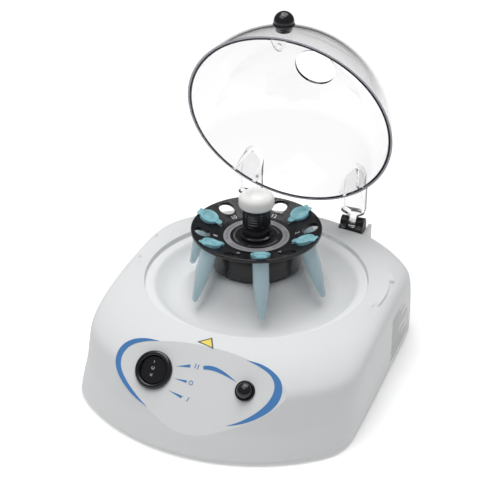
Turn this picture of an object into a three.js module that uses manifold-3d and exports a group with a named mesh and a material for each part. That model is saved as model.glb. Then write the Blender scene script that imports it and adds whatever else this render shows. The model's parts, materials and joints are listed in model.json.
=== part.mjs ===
// A bench-top mini centrifuge with a clear domed lid, a twelve-place tube rotor and a vortex cup on its
// spindle. Millimetres, +Z up, front towards -Y, right towards +X. Everything is laid out about the rotor's
// axis, and the whole is then slid along Y so that the middle of its outer size stands over the origin.
// The lid is drawn shut, then opened.

import * as THREE from "three";
import { mergeVertices } from "three/addons/utils/BufferGeometryUtils.js";
import Module from "manifold-3d";

const wasm = await Module();
wasm.setup();

// ---------------------------------------------------------------- sizes

const CASE_HALF_WIDTH = 95;
const CASE_EDGE_ROUND = 10;
const CASE_WALL = 3;
const CASE_BOTTOM = 3;
const FRONT_REACH = 129;
const BACK_REACH = 108;
const DECK_HEIGHT = 59.4;

const SEAT_RADIUS = 75.6;
const SEAT_HEIGHT = 55.8;
const BOWL_RADIUS = 69.5;
const BOWL_DEPTH = 9;
const BOSS_TOP = 70.6;
const SPINDLE_HOLE = 7;

const PANEL_TILT = 48;
const PANEL_Y = 28 - FRONT_REACH;
const PANEL_Z = 40.5;

const DOME_RADIUS = 73.5;
const DOME_WALL = 2;
const DOME_RIM_HEIGHT = 56.2;
const DOME_CENTRE_HEIGHT = 44.9;
const DOME_HOLE = 15;
const LID_OPEN = 72;

const HINGE_Y = 92.5;
const HINGE_Z = 59.9;
const HINGE_SPACING = 39.7;
const HINGE_WIDTH = 17.2;
const HINGE_PIN = 1.5;
const TONGUE_WIDTH = 4.8;

const ROTOR_RADIUS = 43.6;
const ROTOR_HUB_HEIGHT = 90.8;
const ROTOR_HUB_RADIUS = 25.2;
const ROTOR_SLOPE = 19.4;
const ROTOR_THICK = 2.7;
const DRUM_BOTTOM = 71.8;
const DRUM_RADIUS = 30;
const PLACES = 12;
const PLACE_RADIUS = 35.9;
const FIRST_TUBE_ANGLE = -90 + 25;

const TUBE_RADIUS = 5.35;
const TUBE_LENGTH = 41;
const TUBE_WALL = 0.9;
const TUBE_CLEARANCE = 0.25;
const COLLAR = 1;
const COLLAR_SEAT = 0.35;

const SHAFT_RADIUS = 3;
const COLUMN_RADIUS = 9.4;
const COLUMN_TOP = 113;
const CUP_RADIUS = 11.8;
const CUP_TOP = 122;

const LABEL_FRONT = 6;
const LABEL_LENGTH = 44;
const LABEL_HEIGHT = 34;
const LABEL_FOOT = 8;

const SWITCH_U = -30.7;
const SWITCH_RADIUS = 12.4;
const BUTTON_U = 31.1;
const BUTTON_RADIUS = 5;

const GAP = 0.2;
const DEG = Math.PI / 180;

// ---------------------------------------------------------------- solids

// A three.js geometry as a solid that can be joined, cut and moved.
function solid(geometry) {
  const bare = geometry.clone();
  bare.deleteAttribute("normal");
  bare.deleteAttribute("uv");
  const merged = mergeVertices(bare, 1e-4);
  return new wasm.Manifold(
    new wasm.Mesh({
      numProp: 3,
      vertProperties: new Float32Array(merged.attributes.position.array),
      triVerts: new Uint32Array(merged.index.array),
    }),
  );
}

// A solid as a three.js geometry.
function geometryOf(body) {
  const mesh = body.getMesh();
  const geometry = new THREE.BufferGeometry();
  const points = new Float32Array(mesh.numVert * 3);
  for (let i = 0; i < mesh.numVert; i++) {
    points.set(mesh.vertProperties.subarray(i * mesh.numProp, i * mesh.numProp + 3), i * 3);
  }
  geometry.setAttribute("position", new THREE.BufferAttribute(points, 3));
  geometry.setIndex(new THREE.BufferAttribute(mesh.triVerts, 1));
  geometry.computeVertexNormals();
  return geometry;
}

// A turned body about Z from [radius, height] pairs that run anticlockwise, the axis on the left.
function turned(profile, segments = 32) {
  const points = profile.map(([r, z]) => new THREE.Vector2(r, z));
  const closed = profile[0][0] > 0 ? [...points, points[0].clone()] : points;
  return solid(new THREE.LatheGeometry(closed, segments)).rotate([90, 0, 0]);
}

function rod(radius, low, high, segments = 20) {
  return turned([[0, low], [radius, low], [radius, high], [0, high]], segments);
}

function tube(outer, inner, low, high, segments = 32) {
  return turned([[inner, low], [outer, low], [outer, high], [inner, high]], segments);
}

function block(x0, x1, y0, y1, z0, z1) {
  return solid(new THREE.BoxGeometry(x1 - x0, y1 - y0, z1 - z0)).translate([
    (x0 + x1) / 2,
    (y0 + y1) / 2,
    (z0 + z1) / 2,
  ]);
}

// A flat outline in X and Y, raised from low to high.
function raised(outline, low, high) {
  const shape = new THREE.Shape(outline.map(([x, y]) => new THREE.Vector2(x, y)));
  const geometry = new THREE.ExtrudeGeometry(shape, { depth: high - low, bevelEnabled: false });
  return solid(geometry).translate([0, 0, low]);
}

// An outline in Y and Z, run along X from low to high.
function sidewaysBar(outline, low, high) {
  return raised(outline, low, high).rotate([90, 0, 90]);
}

// A rod that lies along X.
function crossRod(radius, low, high, y, z, segments = 20) {
  return rod(radius, low, high, segments).rotate([0, 90, 0]).translate([0, y, z]);
}

function arc(radius, from, to, steps, cx = 0, cy = 0) {
  return Array.from({ length: steps + 1 }, (_, i) => {
    const a = (from + ((to - from) * i) / steps) * DEG;
    return [cx + radius * Math.cos(a), cy + radius * Math.sin(a)];
  });
}

// ---------------------------------------------------------------- materials

const paint = (color, roughness, extra = {}) =>
  new THREE.MeshStandardMaterial({ color, roughness, ...extra });

const material = {
  case: paint(0xe4e4e6, 0.5),
  base: paint(0x8d9094, 0.6),
  rubber: paint(0x1b1b1d, 0.85),
  black: paint(0x0c0c0e, 0.25),
  matteBlack: paint(0x141416, 0.6),
  clear: paint(0xeaf1f4, 0.05, { transparent: true, opacity: 0.25 }),
  white: paint(0xf2f2f0, 0.45),
  steel: paint(0xb9bcc0, 0.3, { metalness: 1 }),
  motor: paint(0x9a9da1, 0.35, { metalness: 1 }),
  ring: paint(0x9c9ea2, 0.4),
  tube: paint(0xbfe6f0, 0.3, { transparent: true, opacity: 0.6 }),
  board: paint(0x1f6b3c, 0.5),
  label: paint(0xd9dadc, 0.5),
  relay: paint(0x2a4f9c, 0.5),
};

const machine = new THREE.Group();

function addPart(name, body, look, parent = machine) {
  const mesh = new THREE.Mesh(geometryOf(body), look);
  mesh.name = name;
  parent.add(mesh);
  return mesh;
}

// ---------------------------------------------------------------- case shape

// How the case's skin rises from its bottom edge to the lid's seat, as [distance from the rotor's axis,
// height]: at the front it leans back and rolls over, at the back it is upright with a round top edge.
const FRONT_RISE = [
  [FRONT_REACH, CASE_BOTTOM],
  [FRONT_REACH - 3.5, 12],
  [FRONT_REACH - 7.8, 21],
  [FRONT_REACH - 10.2, 31],
  [FRONT_REACH - 13.2, 41],
  [FRONT_REACH - 19.4, 46.8],
  [FRONT_REACH - 29.6, 52.3],
  [SEAT_RADIUS + 12.4, 56.3],
  [SEAT_RADIUS + 0.1, DECK_HEIGHT],
];
const BACK_RISE = [
  [BACK_REACH, CASE_BOTTOM],
  [BACK_REACH, 14],
  [BACK_REACH, 23],
  [BACK_REACH, 32],
  [BACK_REACH, 40],
  [106.6, 47],
  [102, 53.4],
  [93, 57.4],
  [SEAT_RADIUS + 0.1, DECK_HEIGHT],
];
// The back's plan is an arc about a point this far in front of the axis, one value for each row of the rise,
// so its corners are fuller low down than round the deck, and fuller still on a wider case.
const CORNER_FILL = (CASE_HALF_WIDTH - 71) / 24;
const BACK_ARC_SHIFT = [24, 23, 21, 18, 14, 9, 4, 0, 0].map((shift) => shift * CORNER_FILL);
const BOWL_FLOOR = BOWL_RADIUS - 15;
const BOWL_SURFACE = [
  [SEAT_RADIUS, SEAT_HEIGHT],
  [BOWL_RADIUS + 0.2, SEAT_HEIGHT],
  [BOWL_RADIUS - 1.2, SEAT_HEIGHT - 0.7],
  [BOWL_RADIUS - 4.2, SEAT_HEIGHT - 3.7],
  [BOWL_RADIUS - 8.6, SEAT_HEIGHT - BOWL_DEPTH + 1.9],
  [BOWL_FLOOR, SEAT_HEIGHT - BOWL_DEPTH],
  [BOWL_FLOOR - 6, SEAT_HEIGHT - BOWL_DEPTH + 2.1],
  [43, 54],
  [38.2, 60.7],
  [34.2, 67.4],
  [31.5, 69.9],
  [28.5, BOSS_TOP],
];

// A profile moved inwards by the wall's thickness, each point along the mean of its two edges' normals.
function thinned(profile, wall) {
  const normal = ([r0, z0], [r1, z1]) => {
    const length = Math.hypot(r1 - r0, z1 - z0);
    return [(z0 - z1) / length, (r1 - r0) / length];
  };
  return profile.map((point, i) => {
    const before = normal(profile[Math.max(i - 1, 0)], profile[Math.max(i, 1)]);
    const last = profile.length - 1;
    const after = normal(profile[Math.min(i, last - 1)], profile[Math.min(i + 1, last)]);
    const sum = [before[0] + after[0], before[1] + after[1]];
    const length = Math.hypot(sum[0], sum[1]);
    return [point[0] + (sum[0] / length) * wall, point[1] + (sum[1] / length) * wall];
  });
}

function smoothStep(low, high, value) {
  const t = Math.min(Math.max((value - low) / (high - low), 0), 1);
  return t * t * (3 - 2 * t);
}

// Half the case's width at a height: upright sides whose top edges are rounded.
function halfWidth(height, wall) {
  const start = DECK_HEIGHT - 2 - CASE_EDGE_ROUND;
  if (height <= start) return CASE_HALF_WIDTH - wall;
  const rise = height - start;
  if (rise >= CASE_EDGE_ROUND) return Infinity;
  const inset = CASE_EDGE_ROUND - Math.sqrt(CASE_EDGE_ROUND ** 2 - rise ** 2);
  return CASE_HALF_WIDTH - wall - inset;
}

// The case as a solid block, its whole skin moved inwards by wall, with every so many of its rows of points.
function caseBlock(wall, around, every = 1) {
  const inwards = [...BOWL_SURFACE, [SPINDLE_HOLE, BOSS_TOP]];
  const front = thinned([...FRONT_RISE, ...inwards], wall);
  const back = thinned([...BACK_RISE, ...inwards], wall);
  const steps = FRONT_RISE.length - 1;
  const bowl = front.slice(steps + 1, -1);
  const allRows = [];
  for (let i = 0; i <= steps; i++) {
    allRows.push((angle) => {
      const toBack = smoothStep(-0.3, 0.3, Math.sin(angle));
      const shift = BACK_ARC_SHIFT[i];
      const chord = Math.sqrt((back[i][0] + shift) ** 2 - (shift * Math.cos(angle)) ** 2);
      const backArc = chord - shift * Math.sin(angle);
      const reach = front[i][0] + (backArc - front[i][0]) * toBack;
      let height = front[i][1] + (back[i][1] - front[i][1]) * toBack;
      if (i === 0) height = CASE_BOTTOM;
      const sideways = Math.max(Math.abs(Math.cos(angle)), 1e-6);
      const side = halfWidth(height + wall * (i / steps), wall) / sideways;
      const radius = i === steps ? reach : (reach ** -24 + side ** -24) ** (-1 / 24);
      return [radius, height];
    });
  }
  bowl.forEach((point) => allRows.push(() => point));
  const kept = [steps, steps + 1, allRows.length - 1];
  const rows = allRows.filter((_, i) => i % every === 0 || kept.includes(i));
  const points = [];
  for (const row of rows) {
    for (let j = 0; j < around; j++) {
      const angle = ((j + 0.5) / around) * 2 * Math.PI;
      const [radius, height] = row(angle);
      points.push(radius * Math.cos(angle), radius * Math.sin(angle), height);
    }
  }
  const faces = [];
  for (let i = 0; i + 1 < rows.length; i++) {
    for (let j = 0; j < around; j++) {
      const next = (j + 1) % around;
      const [a, b] = [i * around + j, i * around + next];
      const [c, d] = [a + around, b + around];
      faces.push(a, b, d, a, d, c);
    }
  }
  const bottom = points.length / 3;
  points.push(0, 0, CASE_BOTTOM);
  const top = bottom + 1;
  points.push(0, 0, bowl.at(-1)[1]);
  const lastRow = (rows.length - 1) * around;
  for (let j = 0; j < around; j++) {
    const next = (j + 1) % around;
    faces.push(bottom, next, j);
    faces.push(top, lastRow + j, lastRow + next);
  }
  return new wasm.Manifold(
    new wasm.Mesh({
      numProp: 3,
      vertProperties: new Float32Array(points),
      triVerts: new Uint32Array(faces),
    }),
  );
}

// Places a body drawn about the panel's middle, with X across it, Y up its slope and Z out of it.
function onPanel(body, across = 0) {
  return body.translate([across, 0, 0]).rotate([PANEL_TILT, 0, 0]).translate([0, PANEL_Y, PANEL_Z]);
}

// What stands in front of the panel's plane, moved inwards by wall.
const beyondPanel = (wall) => onPanel(block(-150, 150, -150, 150, -wall, 150));

// The foot of each hinge: the notch in the case's back edge and the post under it.
const hingeSides = [["left", -1], ["right", 1]];
const NOTCH_FRONT = 84.2;
const NOTCH_FLOOR = 47;
const halfHinge = HINGE_WIDTH / 2;

// Four spots, set in from the case's outer size by so much.
const cornerSpots = (frontX, frontY, rearX, rearY) => [
  [frontX - CASE_HALF_WIDTH, frontY - FRONT_REACH],
  [CASE_HALF_WIDTH - frontX, frontY - FRONT_REACH],
  [rearX - CASE_HALF_WIDTH, rearY],
  [CASE_HALF_WIDTH - rearX, rearY],
];
const CASE_SCREWS = cornerSpots(29, 67, 16, 44);
const FOOT_SPOTS = cornerSpots(23, 57, CASE_HALF_WIDTH * 0.2, 58);
const SUSPENSION_ANGLES = [30, 150, 270];
const SUSPENSION_RADIUS = 21.5;
const suspensionPoint = (angle) => [
  SUSPENSION_RADIUS * Math.cos(angle * DEG),
  SUSPENSION_RADIUS * Math.sin(angle * DEG),
];
const BASE_PLATE_TOP = 5.8;
const JACK_HEIGHT = 18;

// The label's recess in the right wall, or, with a gap all round, the label.
function labelBlock(low, high, gap) {
  return block(
    low,
    high,
    LABEL_FRONT + gap,
    LABEL_FRONT + LABEL_LENGTH - gap,
    LABEL_FOOT + gap,
    LABEL_FOOT + LABEL_HEIGHT - gap,
  );
}

// The case is one moulding, drawn in three pieces that a narrow gap parts: the deck with the walls, the ring
// that the tubes' ends swing over, and the boss that the motor hangs from.
const DECK_SEAM = SEAT_RADIUS - 0.3;
const BOSS_SEAM = 44;

function caseMoulding() {
  const outer = caseBlock(0, 64).subtract(beyondPanel(0));
  const hollow = caseBlock(CASE_WALL, 36, 2).subtract(beyondPanel(CASE_WALL));
  let body = outer.subtract(hollow);
  let inside = block(-11, 11, -68, -60, 44, 52);
  for (const [x, y] of CASE_SCREWS) {
    inside = inside.add(rod(5, BASE_PLATE_TOP + GAP, 57, 14).translate([x, y, 0]));
  }
  for (const [, side] of hingeSides) {
    const x = side * HINGE_SPACING;
    inside = inside.add(block(x - 11, x + 11, NOTCH_FRONT - 2, 112, NOTCH_FLOOR - 3, 57));
  }
  body = body.add(inside.intersect(caseBlock(1, 36, 2)));
  for (const [x, y] of CASE_SCREWS) {
    body = body.subtract(rod(1.7, 0, 20, 10).translate([x, y, 0]));
  }
  for (const [, side] of hingeSides) {
    const x = side * HINGE_SPACING;
    body = body
      .subtract(block(x - halfHinge - GAP, x + halfHinge + GAP, NOTCH_FRONT, 120, NOTCH_FLOOR, 80))
      .subtract(rod(1.7, 40, 50, 10).translate([x, 91, 0]));
  }
  for (const angle of SUSPENSION_ANGLES) {
    const [x, y] = suspensionPoint(angle);
    body = body
      .subtract(rod(1.7, 60, 75, 10).translate([x, y, 0]))
      .subtract(rod(3.3, BOSS_TOP - 1, 75, 12).translate([x, y, 0]));
  }
  return body
    .subtract(rod(SPINDLE_HOLE, 60, 80, 24))
    .subtract(onPanel(rod(SWITCH_RADIUS - 1.9, -20, 20, 28), SWITCH_U))
    .subtract(onPanel(rod(BUTTON_RADIUS + 1.2, -20, 20, 20), BUTTON_U))
    .subtract(rod(4.9, -20, 20, 16).rotate([90, 0, 0]).translate([0, BACK_REACH, JACK_HEIGHT]))
    .subtract(labelBlock(CASE_HALF_WIDTH - 0.9, CASE_HALF_WIDTH + 5, 0));
}

// ---------------------------------------------------------------- base

function basePlate() {
  let plate = caseBlock(CASE_WALL + 2 * GAP, 36).intersect(
    block(-150, 150, -150, 150, CASE_BOTTOM, BASE_PLATE_TOP),
  );
  for (const x of [-38, 38]) {
    for (const y of [-66, -36]) {
      plate = plate.add(rod(3.2, BASE_PLATE_TOP - 1, 12.8, 12).translate([x, y, 0]));
      plate = plate.add(rod(1.3, 12, 15.6, 10).translate([x, y, 0]));
    }
  }
  plate = plate.add(block(-7, 7, 93, 102, BASE_PLATE_TOP - 1, JACK_HEIGHT - 6.2));
  for (const [x, y] of CASE_SCREWS) {
    plate = plate
      .subtract(rod(1.8, 0, 10, 10).translate([x, y, 0]))
      .subtract(rod(3.4, 0, CASE_BOTTOM + 1.7, 12).translate([x, y, 0]));
  }
  for (const [x, y] of FOOT_SPOTS) {
    plate = plate.subtract(rod(8.3, 0, CASE_BOTTOM + 1, 20).translate([x, y, 0]));
  }
  return plate;
}

// A pan-head screw that points along +Z from the underside of its head at z = 0.
function screw(length, headRadius = 3, headHeight = 1.5) {
  return turned([
    [0, -headHeight],
    [headRadius, -headHeight],
    [headRadius, 0],
    [1.5, 0],
    [1.5, length],
    [0, length],
  ], 10);
}

const moulding = caseMoulding();
const within = (radius) => rod(radius, 0, 100, 64).rotate([0, 0, 180 / 64]);
addPart("upper_case", moulding.subtract(within(DECK_SEAM)), material.case);
const bowlRing = moulding.intersect(within(DECK_SEAM - GAP)).subtract(within(BOSS_SEAM));
addPart("bowl_ring", bowlRing, material.case);
addPart("bowl_boss", moulding.intersect(within(BOSS_SEAM - GAP)), material.case);
addPart("base_plate", basePlate(), material.base);
const corners = ["front_left", "front_right", "rear_left", "rear_right"];
corners.forEach((corner, i) => {
  const [screwX, screwY] = CASE_SCREWS[i];
  const screwAt = [screwX, screwY, CASE_BOTTOM + 1.55];
  addPart(`case_screw_${corner}`, screw(14).translate(screwAt), material.steel);
  const [footX, footY] = FOOT_SPOTS[i];
  const foot = turned([[0, 0], [7, 0], [8, 0.9], [8, 3.9], [0, 3.9]], 20);
  addPart(`foot_${corner}`, foot.translate([footX, footY, 0]), material.rubber);
});
addPart("rating_label", labelBlock(CASE_HALF_WIDTH - 0.8, CASE_HALF_WIDTH - 0.4, GAP), material.label);

// ---------------------------------------------------------------- hinges on the case

const KNUCKLE = 4.5;
const bracketOutline = [
  [NOTCH_FRONT + 0.3, NOTCH_FLOOR + GAP],
  [97, NOTCH_FLOOR + GAP],
  [97, 59.5],
  ...arc(KNUCKLE, 0, 180, 8, HINGE_Y, HINGE_Z),
  [NOTCH_FRONT + 1.2, 59.2],
  [NOTCH_FRONT + 0.3, 58.4],
];

function hingeBracket(x) {
  const tongueSlot = TONGUE_WIDTH / 2 + 0.3;
  const pinHole = halfHinge - 1.2;
  return sidewaysBar(bracketOutline, x - halfHinge, x + halfHinge)
    .subtract(block(x - tongueSlot, x + tongueSlot, 80, 110, 53.5, 80))
    .subtract(crossRod(HINGE_PIN + 0.1, x - pinHole, x + pinHole, HINGE_Y, HINGE_Z))
    .subtract(rod(1.7, 40, 53, 10).translate([x, 91, 0]));
}

for (const [name, side] of hingeSides) {
  const x = side * HINGE_SPACING;
  addPart(`hinge_bracket_${name}`, hingeBracket(x), material.matteBlack);
  const reach = halfHinge - 1.4;
  addPart(`hinge_pin_${name}`, crossRod(HINGE_PIN, x - reach, x + reach, HINGE_Y, HINGE_Z), material.steel);
  addPart(`hinge_screw_${name}`, screw(8).translate([x, 91, NOTCH_FLOOR - 3 - 0.1]), material.steel);
}

// ---------------------------------------------------------------- lid

const lid = new THREE.Group();
lid.position.set(0, HINGE_Y, HINGE_Z);
lid.rotation.x = -LID_OPEN * DEG;
machine.add(lid);
const inLid = (body) => body.translate([0, -HINGE_Y, -HINGE_Z]);

const rimAngle = Math.asin((DOME_RIM_HEIGHT - DOME_CENTRE_HEIGHT) / DOME_RADIUS) / DEG;
const holeAngle = Math.acos(DOME_HOLE / DOME_RADIUS) / DEG;
const innerDome = DOME_RADIUS - DOME_WALL;
const innerRimAngle = Math.asin((DOME_RIM_HEIGHT - DOME_CENTRE_HEIGHT) / innerDome) / DEG;
const innerHoleAngle = Math.acos(DOME_HOLE / innerDome) / DEG;

// The lid is one clear moulding, drawn as the dome with its latch tab and the two hinge arms, each a narrow
// gap away from the dome's skin.
function lidPieces() {
  const dome = turned([
    ...arc(DOME_RADIUS, rimAngle, holeAngle, 8, 0, DOME_CENTRE_HEIGHT),
    ...arc(innerDome, innerHoleAngle, innerRimAngle, 8, 0, DOME_CENTRE_HEIGHT),
  ], 44);
  const skin = DOME_RADIUS + 0.15;
  const cavity = turned([
    [0, 0],
    [skin, 0],
    ...arc(skin, 0, 90, 24, 0, DOME_CENTRE_HEIGHT),
  ].map(([r, z]) => [Math.max(r, 0), z]), 88);
  const arms = [];
  const topLine = [[48, 82], [56, 77.4], [66, 71.6], [80, 66.6], [HINGE_Y - 2, HINGE_Z + 3.6]];
  const roundEnd = (radius, x) => arc(radius, 180, 360, 12, x, 60.6);
  for (const [, side] of hingeSides) {
    const x = side * HINGE_SPACING;
    const outline = [
      [48, 60.3],
      [HINGE_Y, 60.3],
      [HINGE_Y, HINGE_Z + 3.8],
      ...topLine.toReversed(),
    ];
    const plan = [
      ...roundEnd(halfHinge, x),
      [x + halfHinge, 83],
      [x + TONGUE_WIDTH / 2, 87.2],
      [x + TONGUE_WIDTH / 2, HINGE_Y],
      [x - TONGUE_WIDTH / 2, HINGE_Y],
      [x - TONGUE_WIDTH / 2, 87.2],
      [x - halfHinge, 83],
    ];
    const channelOutline = [[40, 50], [81.5, 50], [81.5, 64.2], [66, 69.3], [56, 75], [48, 79.6], [40, 84]];
    const channelHalf = halfHinge - 1.9;
    const channelPlan = [...roundEnd(channelHalf, x), [x + channelHalf, 82], [x - channelHalf, 82]];
    const channel = sidewaysBar(channelOutline, x - channelHalf, x + channelHalf)
      .intersect(raised(channelPlan, 40, 95));
    const arm = sidewaysBar(outline, x - halfHinge, x + halfHinge)
      .intersect(raised(plan, 50, 90))
      .subtract(channel)
      .subtract(cavity)
      .add(crossRod(3.9, x - TONGUE_WIDTH / 2, x + TONGUE_WIDTH / 2, HINGE_Y, HINGE_Z))
      .subtract(crossRod(HINGE_PIN + 0.1, x - 5, x + 5, HINGE_Y, HINGE_Z));
    arms.push(arm);
  }
  const latch = raised([
    [-6.2, 1],
    [-3.9, -5.4],
    ...arc(3, 205, 335, 6, 0, -5.6),
    [3.9, -5.4],
    [6.2, 1],
  ], -0.7, 0.7)
    .subtract(rod(1.9, -2, 2, 14).translate([0, -5, 0]));
  return { dome, latch, arms };
}

const { dome, latch, arms } = lidPieces();
// The latch tab points inwards and a little down from the rim's front, clear of the bowl's edge.
const tab = latch.rotate([172, 0, 0]).translate([0, -71.2, DOME_RIM_HEIGHT + 0.9]);
const trimmedTab = tab.subtract(block(-20, 20, -80, -72.4, 40, 70));
addPart("lid_dome", inLid(dome.add(trimmedTab)), material.clear, lid);
hingeSides.forEach(([name], i) => {
  addPart(`lid_arm_${name}`, inLid(arms[i]), material.clear, lid);
});

const KNOB_RADIUS = 6.9;
const knobProfile = [
  [0, 0],
  [5.2, 0],
  [6.4, 3.2],
  [7.4, 4.6],
  [7.4, 5.6],
  ...arc(KNOB_RADIUS, -8, 78, 5, 0, 6.6),
  [0, 6.6 + KNOB_RADIUS],
];
const KNOB_LEAN = 17.5;
const knob = turned(knobProfile, 24)
  .translate([0, 0, DOME_RADIUS - 1.1])
  .rotate([90 - KNOB_LEAN, 0, 0])
  .translate([0, 0, DOME_CENTRE_HEIGHT])
  .subtract(
    solid(new THREE.SphereGeometry(DOME_RADIUS + GAP + 0.1, 64, 48)).translate([0, 0, DOME_CENTRE_HEIGHT]),
  );
addPart("lid_knob", inLid(knob), material.black, lid);

// ---------------------------------------------------------------- motor and its mounting

const PLATE_TOP = 64.5;
const PLATE_BOTTOM = 62;
const MOTOR_TOP = PLATE_BOTTOM - GAP;

const motor = turned([
  [0, 10],
  [4, 10],
  [4, 12],
  [19, 12],
  [19, MOTOR_TOP],
  [6.3, MOTOR_TOP],
  [6.3, PLATE_TOP],
  [SHAFT_RADIUS + 0.2, PLATE_TOP],
  [SHAFT_RADIUS + 0.2, 52],
  [0, 52],
], 28);
addPart("motor", motor, material.motor);

let motorPlate = tube(27, 6.6, PLATE_BOTTOM, PLATE_TOP, 28);
for (const angle of SUSPENSION_ANGLES) {
  motorPlate = motorPlate.subtract(rod(1.7, 55, 70, 10).translate([...suspensionPoint(angle), 0]));
}
addPart("motor_plate", motorPlate, material.steel);

const bossUnderside = BOSS_TOP - CASE_WALL;
SUSPENSION_ANGLES.forEach((angle, i) => {
  const [x, y] = suspensionPoint(angle);
  const bush = tube(4.5, 1.8, PLATE_TOP + 0.1, bossUnderside - 0.1, 14);
  addPart(`motor_bush_${i + 1}`, bush.translate([x, y, 0]), material.rubber);
  const hangingScrew = screw(8.8, 3, 1.1).rotate([180, 0, 0]);
  addPart(`motor_screw_${i + 1}`, hangingScrew.translate([x, y, BOSS_TOP - 0.9]), material.steel);
});

// ---------------------------------------------------------------- rotor

const rotor = new THREE.Group();
machine.add(rotor);
const slope = Math.tan(ROTOR_SLOPE * DEG);
const rimRise = (ROTOR_RADIUS - ROTOR_HUB_RADIUS) * slope;

// A tube place's own frame: its origin on the dish's face, +Z out along the tube's axis, +Y away from the
// rotor's axis.
const placeHeight = ROTOR_HUB_HEIGHT + (PLACE_RADIUS - ROTOR_HUB_RADIUS) * slope;
function atPlace(body, angle) {
  return body
    .rotate([ROTOR_SLOPE, 0, 0])
    .translate([0, PLACE_RADIUS, placeHeight])
    .rotate([0, 0, angle - 90]);
}
const placeAngle = (place) => FIRST_TUBE_ANGLE + (place * 360) / PLACES;

let disc = turned([
  [SHAFT_RADIUS + 0.2, ROTOR_HUB_HEIGHT - ROTOR_THICK],
  [ROTOR_HUB_RADIUS - 0.6, ROTOR_HUB_HEIGHT - ROTOR_THICK],
  [ROTOR_RADIUS, ROTOR_HUB_HEIGHT - ROTOR_THICK + rimRise + 0.3],
  [ROTOR_RADIUS, ROTOR_HUB_HEIGHT + rimRise - 0.3],
  [ROTOR_RADIUS - 0.6, ROTOR_HUB_HEIGHT + rimRise - 0.1],
  [ROTOR_HUB_RADIUS, ROTOR_HUB_HEIGHT],
  [22.2, ROTOR_HUB_HEIGHT],
  [22.2, ROTOR_HUB_HEIGHT - 0.5],
  [17.4, ROTOR_HUB_HEIGHT - 0.5],
  [17.4, ROTOR_HUB_HEIGHT],
  [SHAFT_RADIUS + 0.2, ROTOR_HUB_HEIGHT],
], 36);
for (let place = 0; place < PLACES; place++) {
  disc = disc.subtract(atPlace(rod(TUBE_RADIUS + TUBE_CLEARANCE, -6, 6, 12), placeAngle(place)));
}
addPart("rotor_disc", disc, material.black, rotor);
const scaleRing = tube(22, 17.6, ROTOR_HUB_HEIGHT - 0.4, ROTOR_HUB_HEIGHT - 0.02, 36);
addPart("rotor_scale_ring", scaleRing, material.ring, rotor);

const drumTop = ROTOR_HUB_HEIGHT - ROTOR_THICK - GAP;
const drum = turned([
  [SHAFT_RADIUS + 0.2, 74],
  [8, 74],
  [8, drumTop - 2.6],
  [26.2, drumTop - 2.6],
  [27.7, DRUM_BOTTOM],
  [DRUM_RADIUS, DRUM_BOTTOM],
  [28.5, drumTop + 0.9],
  [26.4, drumTop + 0.2],
  [25, drumTop],
  [SHAFT_RADIUS + 0.2, drumTop],
], 36);
addPart("rotor_drum", drum, material.matteBlack, rotor);

addPart("rotor_shaft", rod(SHAFT_RADIUS, 53, 101, 16), material.steel, rotor);

const columnBase = ROTOR_HUB_HEIGHT + 0.15;
const ringPitch = 2.4;
const ribs = Array.from({ length: 5 }, (_, i) => {
  const z = COLUMN_TOP - 12.2 + i * ringPitch;
  return [
    [COLUMN_RADIUS - 0.6, z],
    [COLUMN_RADIUS, z + 1.2],
  ];
}).flat();
const column = turned([
  [SHAFT_RADIUS + 0.15, columnBase],
  [11, columnBase],
  [11, columnBase + 1.4],
  [COLUMN_RADIUS, columnBase + 2],
  [COLUMN_RADIUS, COLUMN_TOP - 14.7],
  ...ribs,
  [COLUMN_RADIUS - 0.8, COLUMN_TOP],
  [5.2, COLUMN_TOP],
  [5.2, COLUMN_TOP - 4.5],
  [SHAFT_RADIUS + 0.15, COLUMN_TOP - 4.5],
], 28);
addPart("rotor_clamp_nut", column, material.matteBlack, rotor);

const cup = turned([
  [0, COLUMN_TOP - 4.2],
  [5, COLUMN_TOP - 4.2],
  [5, COLUMN_TOP + GAP],
  [CUP_RADIUS - 0.8, COLUMN_TOP + GAP],
  [CUP_RADIUS, COLUMN_TOP + 1],
  [CUP_RADIUS, CUP_TOP - 3.6],
  ...arc(3.6, 22, 90, 3, CUP_RADIUS - 3.6, CUP_TOP - 3.6),
  [5.6, CUP_TOP - 1.2],
  [3, CUP_TOP - 2.6],
  [0, CUP_TOP - 3.2],
], 28);
addPart("vortex_cup", cup, material.white, rotor);

// A tube with its collar resting on the dish, open at the top.
const tubeBody = turned([
  [0, -TUBE_LENGTH],
  [1.9, -TUBE_LENGTH + 1.2],
  [TUBE_RADIUS, -18],
  [TUBE_RADIUS, COLLAR_SEAT],
  [TUBE_RADIUS + 0.95, COLLAR_SEAT],
  [TUBE_RADIUS + 0.95, COLLAR_SEAT + COLLAR],
  [TUBE_RADIUS - TUBE_WALL, COLLAR_SEAT + COLLAR],
  [TUBE_RADIUS - TUBE_WALL, -18],
  [1, -TUBE_LENGTH + 1.8],
  [0, -TUBE_LENGTH + 1.6],
], 12);

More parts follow.
